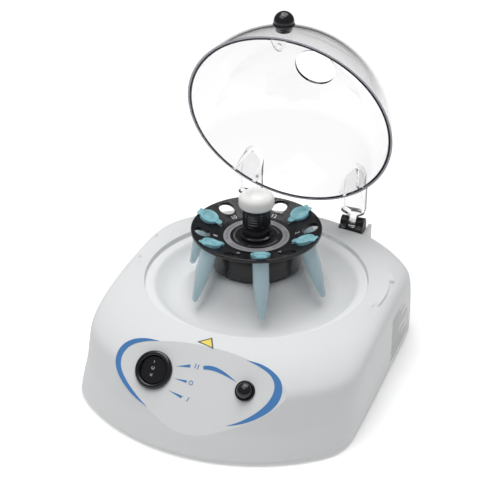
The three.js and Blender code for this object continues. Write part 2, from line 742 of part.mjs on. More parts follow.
// Its snap lid, with the thumb tab towards the rotor's axis and the strap on the outside.
const lidFace = COLLAR_SEAT + COLLAR + 0.12;
const lidRadius = TUBE_RADIUS + 1.15;
const strapOutline = [[-3.4, -1.5], [3.4, -1.5], [3, 1.7], [1.2, 2.2], [0, 1.6], [-1.2, 2.2], [-3, 1.7]];
const strap = raised(strapOutline, lidFace, lidFace + 0.9).translate([0, lidRadius, 0]);
const tabOutline = [[-2.7, 1.1], [-2.3, -2.5], [-0.9, -3.1], [0.9, -3.1], [2.3, -2.5], [2.7, 1.1]];
const thumbTab = raised(tabOutline, lidFace, lidFace + 0.9).translate([0, -lidRadius, 0]);
const plugRadius = TUBE_RADIUS - TUBE_WALL - 0.2;
const tubeLid = turned([
  [0, -1.2],
  [plugRadius, -1.2],
  [plugRadius, lidFace],
  [lidRadius, lidFace],
  [lidRadius, lidFace + 1.4],
  [plugRadius + 0.15, lidFace + 1.4],
  [plugRadius - 0.15, lidFace + 1],
  [0, lidFace + 1],
], 12).add(strap).add(thumbTab);

for (let i = 0; i < PLACES / 2; i++) {
  const angle = placeAngle(2 * i);
  addPart(`tube_${i + 1}`, atPlace(tubeBody, angle), material.tube, rotor);
  addPart(`tube_lid_${i + 1}`, atPlace(tubeLid, angle), material.tube, rotor);
}

// ---------------------------------------------------------------- controls

const switchBody = SWITCH_RADIUS - 2.2;
const switchBezel = turned([
  [0, -20],
  [switchBody, -20],
  [switchBody, 0.15],
  [SWITCH_RADIUS, 0.15],
  [SWITCH_RADIUS, 0.9],
  [SWITCH_RADIUS - 0.7, 2.3],
  [switchBody - 0.6, 2.3],
  [switchBody - 0.9, 1.9],
  [switchBody - 0.9, -10],
  [0, -10],
], 28);
addPart("switch_bezel", onPanel(switchBezel, SWITCH_U), material.black);

// The rocker turns about a line across the panel, 2.5 below its face.
const rockerRadius = switchBody - 1.55;
const rocker = turned([
  [0, -6],
  [rockerRadius - 0.35, -6],
  [rockerRadius, -5],
  [rockerRadius, 0.6],
  [rockerRadius - 0.45, 1.1],
  [0, 1.1],
], 24).subtract(crossRod(34, -12, 12, 0, 34.2, 96));
addPart("switch_rocker", onPanel(rocker, SWITCH_U), material.black);

const buttonSleeve = turned([
  [0, -14],
  [BUTTON_RADIUS + 0.9, -14],
  [BUTTON_RADIUS + 0.9, 0.15],
  [BUTTON_RADIUS + 1.5, 0.15],
  [BUTTON_RADIUS + 1.5, 1.2],
  [BUTTON_RADIUS + 1.1, 1.7],
  [BUTTON_RADIUS + 0.3, 1.7],
  [BUTTON_RADIUS + 0.3, -12.4],
  [0, -12.4],
], 20);
addPart("button_sleeve", onPanel(buttonSleeve, BUTTON_U), material.black);

const button = turned([
  [0, -9.8],
  [2, -9.8],
  [2, -3],
  [BUTTON_RADIUS, -3],
  [BUTTON_RADIUS, 2.6],
  ...arc(BUTTON_RADIUS, 15, 75, 3).map(([r, z]) => [r, 2.1 + z * 0.72]),
  [0, 5.7],
], 20);
addPart("push_button", onPanel(button, BUTTON_U), material.black);

class Helix extends THREE.Curve {
  constructor(radius, low, high, turns) {
    super();
    Object.assign(this, { radius, low, high, turns });
  }

  getPoint(t, target = new THREE.Vector3()) {
    const angle = t * this.turns * 2 * Math.PI;
    return target.set(
      this.radius * Math.cos(angle),
      this.radius * Math.sin(angle),
      this.low + (this.high - this.low) * t,
    );
  }
}
const wire = new THREE.Shape(arc(0.35, 0, 288, 4).map(([x, y]) => new THREE.Vector2(x, y)));
const coil = new THREE.ExtrudeGeometry(wire, {
  steps: 60,
  bevelEnabled: false,
  extrudePath: new Helix(BUTTON_RADIUS - 1.6, -11.7, -3.6, 5),
});
addPart("button_spring", onPanel(solid(coil), BUTTON_U), material.steel);

// ---------------------------------------------------------------- electrics

let board = block(-43, 43, -71, -31, 13, 14.6);
for (const x of [-38, 38]) {
  for (const y of [-66, -36]) {
    board = board.subtract(rod(1.6, 10, 18, 10).translate([x, y, 0]));
  }
}
addPart("circuit_board", board, material.board);
addPart("board_relay", block(-30, -15, -60, -41, 14.8, 29.8), material.relay);
addPart("board_capacitor", rod(5.2, 14.8, 32, 16).translate([2, -50, 0]), material.matteBlack);
const heatSink = block(16, 34, -48, -44, 14.8, 33).add(block(16, 34, -58, -44, 14.8, 17));
addPart("board_heat_sink", heatSink, material.motor);
const lidSwitch = block(-9.5, 9.5, -67.5, -61, 34, 43.8).add(block(-7, 7, -65, -64, 31, 35));
addPart("lid_switch", lidSwitch, material.matteBlack);

const jackFront = BACK_REACH - CASE_WALL - 1.6;
// A rod along Y about the socket's axis, from one distance behind the rotor's axis to another.
const backRod = (radius, from, to, segments) =>
  rod(radius, -to, -from, segments).rotate([90, 0, 0]).translate([0, 0, JACK_HEIGHT]);
const jack = block(-5.5, 5.5, 92, jackFront, JACK_HEIGHT - 6, JACK_HEIGHT + 6)
  .add(backRod(4.6, jackFront - 1, BACK_REACH - 0.4, 28))
  .subtract(backRod(3.2, 97, 120, 24))
  .add(backRod(1, 96, 100, 16));
addPart("power_socket", jack, material.matteBlack);

// ---------------------------------------------------------------- placing

machine.updateMatrixWorld(true);
const size = new THREE.Box3().setFromObject(machine, true);
machine.position.y = -Math.round(((size.min.y + size.max.y) / 2) * 10) / 10;

const centrifuge = new THREE.Group();
centrifuge.name = "mini_centrifuge";
centrifuge.add(machine);

export default centrifuge;
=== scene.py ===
"""Looks of a bench-top mini centrifuge with a vortex cup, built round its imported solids.

Sizes are given in millimetres about the rotor's axis and turned into metres as each piece is made.
"""

import json
import logging
import math
from dataclasses import dataclass
from enum import Enum
from typing import Any, Callable, Iterable, Optional, Sequence

import bpy
from mathutils import Matrix, Vector

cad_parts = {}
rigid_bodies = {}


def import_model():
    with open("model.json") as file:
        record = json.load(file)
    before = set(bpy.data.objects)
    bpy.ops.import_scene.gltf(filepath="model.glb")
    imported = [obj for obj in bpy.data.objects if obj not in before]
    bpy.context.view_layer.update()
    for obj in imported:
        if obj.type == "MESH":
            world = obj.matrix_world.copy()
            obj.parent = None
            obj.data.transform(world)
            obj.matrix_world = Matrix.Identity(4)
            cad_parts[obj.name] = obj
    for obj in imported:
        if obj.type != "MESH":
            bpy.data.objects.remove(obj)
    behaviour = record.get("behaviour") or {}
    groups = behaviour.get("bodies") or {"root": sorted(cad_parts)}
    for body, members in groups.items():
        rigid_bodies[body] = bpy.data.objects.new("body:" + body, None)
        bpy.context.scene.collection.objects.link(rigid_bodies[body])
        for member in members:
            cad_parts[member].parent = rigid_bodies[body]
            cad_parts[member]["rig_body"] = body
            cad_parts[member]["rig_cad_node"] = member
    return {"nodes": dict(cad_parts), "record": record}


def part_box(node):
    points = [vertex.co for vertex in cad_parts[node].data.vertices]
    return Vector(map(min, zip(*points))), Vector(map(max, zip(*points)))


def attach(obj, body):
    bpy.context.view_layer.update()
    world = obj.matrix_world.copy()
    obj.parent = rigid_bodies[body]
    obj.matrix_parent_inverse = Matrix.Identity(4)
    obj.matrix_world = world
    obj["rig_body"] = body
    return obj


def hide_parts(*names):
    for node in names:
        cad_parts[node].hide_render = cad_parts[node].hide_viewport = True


LOG = logging.getLogger("centrifuge")
MM = 0.001
Point = tuple[float, float]
Profile = Sequence[Point]
Colour = tuple[float, float, float]
Piece = bpy.types.Object


# ------------------------------------------------------------------ tools of the bench


def step(x: float = 0, y: float = 0, z: float = 0) -> Matrix:
    """Gives a step of so many millimetres."""
    return Matrix.Translation(Vector((x, y, z)) * MM)


def spin(angle: float, axis: str) -> Matrix:
    """Gives a turn of so many degrees about an axis."""
    return Matrix.Rotation(math.radians(angle), 4, axis)


class Join(Enum):
    """How one closed body is combined with another."""

    ADD = "UNION"
    CUT = "DIFFERENCE"
    KEEP = "INTERSECT"


def mode(name: str) -> None:
    """Goes to edit mode or back to object mode."""
    bpy.ops.object.mode_set(mode=name)


def alone(piece: Piece) -> None:
    """Selects one piece and nothing else, and makes it active.

    Args:
        piece: The piece that the next operator acts on.
    """
    if bpy.context.mode != "OBJECT":
        mode("OBJECT")
    bpy.ops.object.select_all(action="DESELECT")
    piece.select_set(True)
    bpy.context.view_layer.objects.active = piece


def named(piece: Piece, name: str) -> Piece:
    """Names a piece and its mesh.

    Args:
        piece: The piece.
        name: Its new name.

    Returns:
        The same piece.
    """
    piece.name = name
    piece.data.name = name
    return piece


def settled(piece: Piece, place: Matrix = Matrix.Identity(4)) -> Piece:
    """Moves a piece to its place and applies that place to its mesh.

    Args:
        piece: The piece.
        place: Where it goes, in metres.

    Returns:
        The same piece, its object at the origin.
    """
    alone(piece)
    piece.matrix_world = place @ piece.matrix_world
    bpy.ops.object.transform_apply(location=True, rotation=True, scale=True)
    return piece


def pick(piece: Piece, wanted: Callable[[int], bool]) -> None:
    """Selects vertices by number and leaves the piece in edit mode.

    Args:
        piece: The piece being shaped.
        wanted: Says whether the vertex with a number is selected.
    """
    alone(piece)
    mode("EDIT")
    bpy.ops.mesh.select_mode(type="VERT")
    bpy.ops.mesh.select_all(action="DESELECT")
    mode("OBJECT")
    for vertex in piece.data.vertices:
        vertex.select = wanted(vertex.index)
    mode("EDIT")


def outwards(piece: Piece) -> Piece:
    """Merges doubles, turns every face outwards and leaves edit mode.

    Args:
        piece: A closed piece.

    Returns:
        The same piece.
    """
    alone(piece)
    mode("EDIT")
    bpy.ops.mesh.select_all(action="SELECT")
    bpy.ops.mesh.remove_doubles(threshold=1e-7)
    bpy.ops.mesh.normals_make_consistent(inside=False)
    mode("OBJECT")
    return piece


def turned(name: str, profile: Profile, segments: int = 64) -> Piece:
    """Draws a round out of a circle, ring by ring along Z.

    Args:
        name: The piece's name.
        profile: Radius and height of each ring. An end on the axis closes in a point; a profile with
            neither end on the axis closes on itself.
        segments: How many vertices go round.

    Returns:
        A closed piece.
    """
    rings = [(r * MM, z * MM) for r, z in profile if r > 0]
    radius, height = rings[0]
    bpy.ops.object.select_all(action="DESELECT")
    bpy.ops.mesh.primitive_circle_add(vertices=segments, radius=radius, location=(0, 0, height))
    piece = settled(named(bpy.context.object, name))
    pick(piece, lambda _: True)
    for next_radius, next_height in rings[1:]:
        climb = {"value": (0, 0, next_height - height)}
        bpy.ops.mesh.extrude_region_move(TRANSFORM_OT_translate=climb)
        ratio = next_radius / radius
        bpy.ops.transform.resize(value=(ratio, ratio, 1), center_override=(0, 0, next_height))
        radius, height = next_radius, next_height
    mode("OBJECT")
    last = len(piece.data.vertices) - segments
    ends = (
        (profile[0], rings[0], lambda i: i < segments),
        (profile[-1], rings[-1], lambda i: last <= i < last + segments),
    )
    if profile[0][0] > 0 and profile[-1][0] > 0:
        pick(piece, lambda i: i < segments or i >= last)
        bpy.ops.mesh.bridge_edge_loops()
    else:
        for (end_radius, end_height), (_, ring_height), wanted in ends:
            pick(piece, wanted)
            if end_radius > 0:
                bpy.ops.mesh.edge_face_add()
                continue
            climb = {"value": (0, 0, end_height * MM - ring_height)}
            bpy.ops.mesh.extrude_region_move(TRANSFORM_OT_translate=climb)
            bpy.ops.mesh.merge(type="CENTER")
    mode("OBJECT")
    return outwards(piece)


def plate(name: str, outline: Profile, low: float, high: float) -> Piece:
    """Draws a flat outline in X and Y and extrudes it upwards.

    Args:
        name: The piece's name.
        outline: The corners, in order.
        low: Height of its underside.
        high: Height of its top.

    Returns:
        A closed piece.
    """
    bpy.ops.object.select_all(action="DESELECT")
    bpy.ops.mesh.primitive_circle_add(vertices=len(outline), radius=MM, fill_type="NGON")
    piece = settled(named(bpy.context.object, name))
    for vertex, (x, y) in zip(piece.data.vertices, outline):
        vertex.co = (x * MM, y * MM, low * MM)
    pick(piece, lambda _: True)
    bpy.ops.mesh.extrude_region_move(TRANSFORM_OT_translate={"value": (0, 0, (high - low) * MM)})
    mode("OBJECT")
    return outwards(piece)


def brick(name: str, low: Sequence[float], high: Sequence[float]) -> Piece:
    """Draws a block between its lowest and its highest corner."""
    outline = [(low[0], low[1]), (high[0], low[1]), (high[0], high[1]), (low[0], high[1])]
    return plate(name, outline, low[2], high[2])


def rod(name: str, radius: float, half: float, segments: int) -> Piece:
    """Draws a rod along Z that reaches as far below the origin as above it."""
    return turned(name, [(0, -half), (radius, -half), (radius, half), (0, half)], segments)


def sideways(piece: Piece) -> Piece:
    """Turns what was drawn in X and Y so that it stands in Y and Z and runs along X."""
    return settled(piece, Matrix(((0, 0, 1, 0), (1, 0, 0, 0), (0, 1, 0, 0), (0, 0, 0, 1))))


def moved(piece: Piece, x: float = 0, y: float = 0, z: float = 0) -> Piece:
    """Moves a piece by so many millimetres."""
    return settled(piece, step(x, y, z))


def modified(piece: Piece, kind: str, **settings: Any) -> Piece:
    """Adds a modifier to a piece and applies it.

    Args:
        piece: The piece.
        kind: The modifier's type.
        **settings: The modifier's own settings.

    Returns:
        The same piece.
    """
    alone(piece)
    bpy.ops.object.modifier_add(type=kind)
    modifier = piece.modifiers[-1]
    for setting, value in settings.items():
        setattr(modifier, setting, value)
    bpy.ops.object.modifier_apply(modifier=modifier.name)
    return piece


def combined(piece: Piece, others: Iterable[Piece], how: Join) -> Piece:
    """Adds bodies to a piece, or cuts them from it, one after another.

    Args:
        piece: The piece that is kept.
        others: The bodies, which are used up.
        how: What is done with them.

    Returns:
        The same piece.
    """
    for other in others:
        modified(piece, "BOOLEAN", operation=how.value, solver="MANIFOLD", object=other)
        bpy.data.objects.remove(other)
    return piece


def joined(name: str, pieces: Sequence[Piece]) -> Piece:
    """Joins pieces that don't touch into one.

    Args:
        name: The joined piece's name.
        pieces: The pieces.

    Returns:
        The joined piece.
    """
    alone(pieces[0])
    for piece in pieces:
        piece.select_set(True)
    bpy.ops.object.join()
    return named(bpy.context.object, name)


def twin(piece: Piece, name: str, place: Matrix) -> Piece:
    """Copies a piece, mesh and all, to another place.

    Args:
        piece: The piece to copy.
        name: The copy's name.
        place: Where the copy goes, from where the first one is.

    Returns:
        The copy.
    """
    copy = piece.copy()
    copy.data = piece.data.copy()
    bpy.context.scene.collection.objects.link(copy)
    return settled(named(copy, name), place)


def smooth(piece: Piece, bevel: float = 0, angle: float = 35) -> Piece:
    """Rounds a piece's sharp edges and shades it smooth.

    Args:
        piece: The piece.
        bevel: Width of the rounding; nothing is rounded at 0.
        angle: The least angle, in degrees, of an edge that counts as sharp.

    Returns:
        The same piece.
    """
    if bevel:
        limit = {"limit_method": "ANGLE", "angle_limit": math.radians(angle)}
        modified(piece, "BEVEL", width=bevel * MM, segments=2, use_clamp_overlap=True, **limit)
    alone(piece)
    bpy.ops.object.shade_smooth_by_angle(angle=math.radians(angle))
    return piece


def arc(radius: float, start: float, end: float, steps: int, x: float = 0, y: float = 0) -> list[Point]:
    """Lists the ends of so many stretches of an arc about x and y, its angles in degrees."""
    angles = [math.radians(start + (end - start) * i / steps) for i in range(steps + 1)]
    return [(x + radius * math.cos(a), y + radius * math.sin(a)) for a in angles]


def flowing(points: Sequence[Sequence[float]], steps: int) -> list[tuple[float, ...]]:
    """Runs a smooth line through points.

    Args:
        points: The points that it passes through, each with any number of values.
        steps: How many stretches lie between two of them.

    Returns:
        The points along the line.
    """
    line: list[tuple[float, ...]] = []
    last = len(points) - 1
    for i in range(last):
        p0, p1, p2, p3 = points[max(i - 1, 0)], points[i], points[i + 1], points[min(i + 2, last)]
        for k in range(steps):
            t = k / steps
            line.append(
                tuple(
                    b
                    + t * (c - a) / 2
                    + t * t * (a - 2.5 * b + 2 * c - d / 2)
                    + t**3 * (1.5 * (b - c) + (d - a) / 2)
                    for a, b, c, d in zip(p0, p1, p2, p3)
                )
            )
    line.append(tuple(points[-1]))
    return line


# ------------------------------------------------------------------ finishes


class Nodes:
    """A material's nodes, added and linked one by one."""

    def __init__(self, name: str) -> None:
        """Starts a material with one principled shader.

        Args:
            name: The material's name.
        """
        self.material = bpy.data.materials.new(name)
        self.material.use_nodes = True
        self.tree = self.material.node_tree
        self.shader = self.tree.nodes["Principled BSDF"]

    def add(self, kind: str, **settings: Any) -> Any:
        """Adds a node.

        Args:
            kind: The node's type.
            **settings: Its own settings.

        Returns:
            The node.
        """
        node = self.tree.nodes.new(kind)
        for setting, value in settings.items():
            setattr(node, setting, value)
        return node

    def link(self, source: Any, target: Any) -> None:
        """Links an output socket to an input socket."""
        self.tree.links.new(source, target)

    def noise(self, scale: float, detail: float = 3, stretch: Sequence[float] = (1, 1, 1)) -> Any:
        """Adds a noise pattern that stands still on the piece.

        Args:
            scale: Its scale per metre.
            detail: Its detail.
            stretch: How much finer it is along each axis.

        Returns:
            The noise's value socket.
        """
        place = self.add("ShaderNodeMapping")
        place.inputs["Scale"].default_value = stretch
        self.link(self.add("ShaderNodeTexCoord").outputs["Object"], place.inputs["Vector"])
        noise = self.add("ShaderNodeTexNoise")
        noise.inputs["Scale"].default_value = scale
        noise.inputs["Detail"].default_value = detail
        self.link(place.outputs["Vector"], noise.inputs["Vector"])
        return noise.outputs["Fac"]

    def spread(self, value: Any, low: float, high: float) -> Any:
        """Maps the middle part of a pattern to a range.

        Args:
            value: The pattern's socket.
            low: The range's low end.
            high: The range's high end.

        Returns:
            The mapped socket.
        """
        node = self.add("ShaderNodeMapRange")
        for name, end in (("From Min", 0.3), ("From Max", 0.7), ("To Min", low), ("To Max", high)):
            node.inputs[name].default_value = end
        self.link(value, node.inputs["Value"])
        return node.outputs["Result"]

    def tint(self, value: Any, first: Colour, second: Colour) -> None:
        """Colours the shader from one colour to another by a pattern."""
        mix = self.add("ShaderNodeMix", data_type="RGBA")
        mix.inputs["A"].default_value = (*first, 1)
        mix.inputs["B"].default_value = (*second, 1)
        self.link(value, mix.inputs["Factor"])
        self.link(mix.outputs["Result"], self.shader.inputs["Base Color"])

    def relief(self, value: Any, depth: float) -> None:
        """Raises the surface by a pattern, so many millimetres deep."""
        bump = self.add("ShaderNodeBump")
        bump.inputs["Distance"].default_value = depth * MM
        bump.inputs["Strength"].default_value = 1
        self.link(value, bump.inputs["Height"])
        self.link(bump.outputs["Normal"], self.shader.inputs["Normal"])


@dataclass(frozen=True)
class Finish:
    """A surface with a fine grain, a little unevenness of colour, and a gloss that wanders."""

    name: str
    colour: Colour
    roughness: float
    wander: float = 0.04
    shade: float = 0.94
    grain: float = 1600
    relief: float = 0.004
    metallic: float = 0
    clear: float = 0
    index: float = 1.46
    cover: float = 1
    stretch: tuple[float, float, float] = (1, 1, 1)

    def material(self) -> bpy.types.Material:
        """Makes the finish's material, once.

        Returns:
            The material.
        """
        if self.name in bpy.data.materials:
            return bpy.data.materials[self.name]
        nodes = Nodes(self.name)
        inputs = nodes.shader.inputs
        inputs["Metallic"].default_value = self.metallic
        inputs["Transmission Weight"].default_value = self.clear
        inputs["IOR"].default_value = self.index
        inputs["Alpha"].default_value = self.cover
        grain = nodes.noise(self.grain, 3, self.stretch)
        broad = nodes.noise(38, 2)
        darker = tuple(c * self.shade for c in self.colour)
        nodes.tint(nodes.spread(broad, 0, 1), self.colour, darker)
        gloss = nodes.spread(grain, max(self.roughness - self.wander, 0), self.roughness + self.wander)
        nodes.link(gloss, inputs["Roughness"])
        if self.relief:
            nodes.relief(grain, self.relief)
        return nodes.material


CASE = Finish("case_plastic", (0.655, 0.655, 0.66), 0.46, shade=0.975, grain=1900, relief=0.005)
UNDERSIDE = Finish("underside_plastic", (0.2, 0.205, 0.21), 0.55, grain=1500, relief=0.008)
RUBBER = Finish("rubber", (0.012, 0.012, 0.013), 0.78, wander=0.08, grain=2600, relief=0.02)
GLOSS = Finish("gloss_black", (0.006, 0.006, 0.0075), 0.12, wander=0.03, grain=500, relief=0.001)
DISC = Finish("rotor_black", (0.009, 0.0085, 0.011), 0.3, wander=0.05, grain=1400, relief=0.002)
SATIN = Finish("satin_black", (0.011, 0.011, 0.013), 0.42, wander=0.06, grain=1800, relief=0.004)
CLEAR = Finish(
    "clear_lid", (0.9, 0.9, 0.905), 0.012, wander=0.012, shade=0.99, grain=60, relief=0, clear=1, index=1.45,
)
# Grey-violet ink for a thin ring on the clear lid's rim face: painted shade for the dark line that the clear
# edge shows edge-on
PAINTED_RIM_SHADE = Finish("painted_rim_shade", (0.6, 0.58, 0.66), 0.3, grain=900, relief=0.001, clear=0.2)
CUP = Finish("cup_white", (0.86, 0.86, 0.845), 0.4, shade=0.985, grain=1500, relief=0.004)
STEEL = Finish("plated_steel", (0.6, 0.61, 0.63), 0.3, metallic=1, grain=900, stretch=(1, 1, 7), relief=0.002)
CAN = Finish("rolled_can", (0.5, 0.51, 0.53), 0.36, metallic=1, grain=700, stretch=(1, 1, 9), relief=0.003)
SINK = Finish("extruded_aluminium", (0.68, 0.69, 0.71), 0.34, metallic=1, grain=800, stretch=(9, 1, 1))
RING = Finish("printed_ring", (0.34, 0.34, 0.36), 0.36, grain=1300, relief=0.001)
TUBE = Finish(
    "tube_plastic", (0.6, 0.9, 0.97), 0.16, wander=0.05, shade=0.95, grain=700, relief=0.003, clear=0.35,
    index=1.4, cover=0.3,
)
TUBE_CAP = Finish(
    "tube_lid_plastic", (0.46, 0.9, 0.99), 0.16, wander=0.05, shade=0.9, grain=900, relief=0.004, clear=0.35,
    index=1.5, cover=0.8,
)
BOARD = Finish("solder_mask", (0.02, 0.14, 0.05), 0.3, grain=1200, relief=0.006)
RELAY = Finish("relay_blue", (0.02, 0.07, 0.26), 0.3, grain=1200)
LABEL = Finish("label_film", (0.66, 0.665, 0.67), 0.32, grain=1200, relief=0.001)
BLUE = Finish("print_blue", (0.085, 0.27, 0.62), 0.35, grain=1500, relief=0.001)
WHITE = Finish("print_white", (0.85, 0.85, 0.85), 0.4, grain=1500, relief=0.001)
PALE = Finish("print_pale", (0.7, 0.7, 0.7), 0.4, grain=1500, relief=0.001)
GREY = Finish("print_grey", (0.3, 0.3, 0.31), 0.4, grain=1500, relief=0.001)
DARK = Finish("print_dark", (0.05, 0.05, 0.055), 0.4, grain=1500, relief=0.001)
YELLOW = Finish("print_yellow", (0.93, 0.72, 0.06), 0.35, shade=0.97, grain=1500, relief=0.001)

SLOT_FINISHES = {
    "case_plastic": CASE,
    "base_plastic": UNDERSIDE,
    "rubber": RUBBER,
    "gloss_black": GLOSS,
    "matte_black": SATIN,
    "lid_clear": CLEAR,
    "cup_white": CUP,
    "steel": STEEL,
    "motor_metal": CAN,
    "aluminium": SINK,
    "scale_ring": RING,
    "tube_plastic": TUBE,
    "board": BOARD,
    "relay": RELAY,
    "label": LABEL,
}


def fitted(piece: Piece, body: str, finish: Finish, slot: Optional[str] = None, *nodes: str) -> Piece:
    """Dresses a finished piece and hangs it on its body.

    Args:
        piece: The finished piece.
        body: The body that it moves with.
        finish: Its finish.
        slot: The record's slot of its finish; not used.
        *nodes: The solids that it stands for.

    Returns:
        The same piece.
    """
    piece.data.materials.clear()
    piece.data.materials.append(finish.material())
    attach(piece, body)
    if nodes:
        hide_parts(*nodes)
    LOG.info("%s rides on %s", piece.name, body)
    return piece


@dataclass(frozen=True)
class Layout:
    """Where the machine's main lines are; its axis and hinge are read from its solids, the rest are given."""

    axis_y: float
    hinge: Vector
    panel_tilt: float = 48
    panel_y: float = -101
    panel_z: float = 40.5
    switch_across: float = -30.7
    button_across: float = 31.1
    hinge_spacing: float = 39.7

    @classmethod
    def of_solids(cls) -> "Layout":
        """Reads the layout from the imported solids.

        Returns:
            The layout.
        """
        low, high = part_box("rotor_shaft")
        pin_low, pin_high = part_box("hinge_pin_left")
        middle = (pin_low + pin_high) / 2
        return cls(axis_y=(low.y + high.y) / 2 / MM, hinge=Vector((0, middle.y, middle.z)))

    @property
    def home(self) -> Matrix:
        """The step from the rotor's axis to the row's origin."""
        return Matrix.Translation((0, self.axis_y * MM, 0))

    @property
    def panel_normal(self) -> Vector:
        """The direction out of the panel."""
        tilt = math.radians(self.panel_tilt)
        return Vector((0, -math.sin(tilt), math.cos(tilt)))

    @property
    def panel_spot(self) -> Vector:
        """The panel's middle, in metres from the rotor's axis."""
        return Vector((0, self.panel_y, self.panel_z)) * MM

    def on_panel(self, across: float = 0, up: float = 0, turn: float = 0) -> Matrix:
        """Gives a place on the panel.

        Args:
            across: How far to the right of its middle.
            up: How far up its slope.
            turn: How far what lies there is turned about the panel's normal, in degrees.

        Returns:
            The place of a piece drawn about the origin with Z out of the panel.
        """
        spot = Matrix.Translation((0, (self.panel_y + self.axis_y) * MM, self.panel_z * MM))
        tilt = spin(self.panel_tilt, "X")
        shift = Matrix.Translation((across * MM, up * MM, 0))
        return spot @ tilt @ shift @ spin(turn, "Z")


# ------------------------------------------------------------------ case


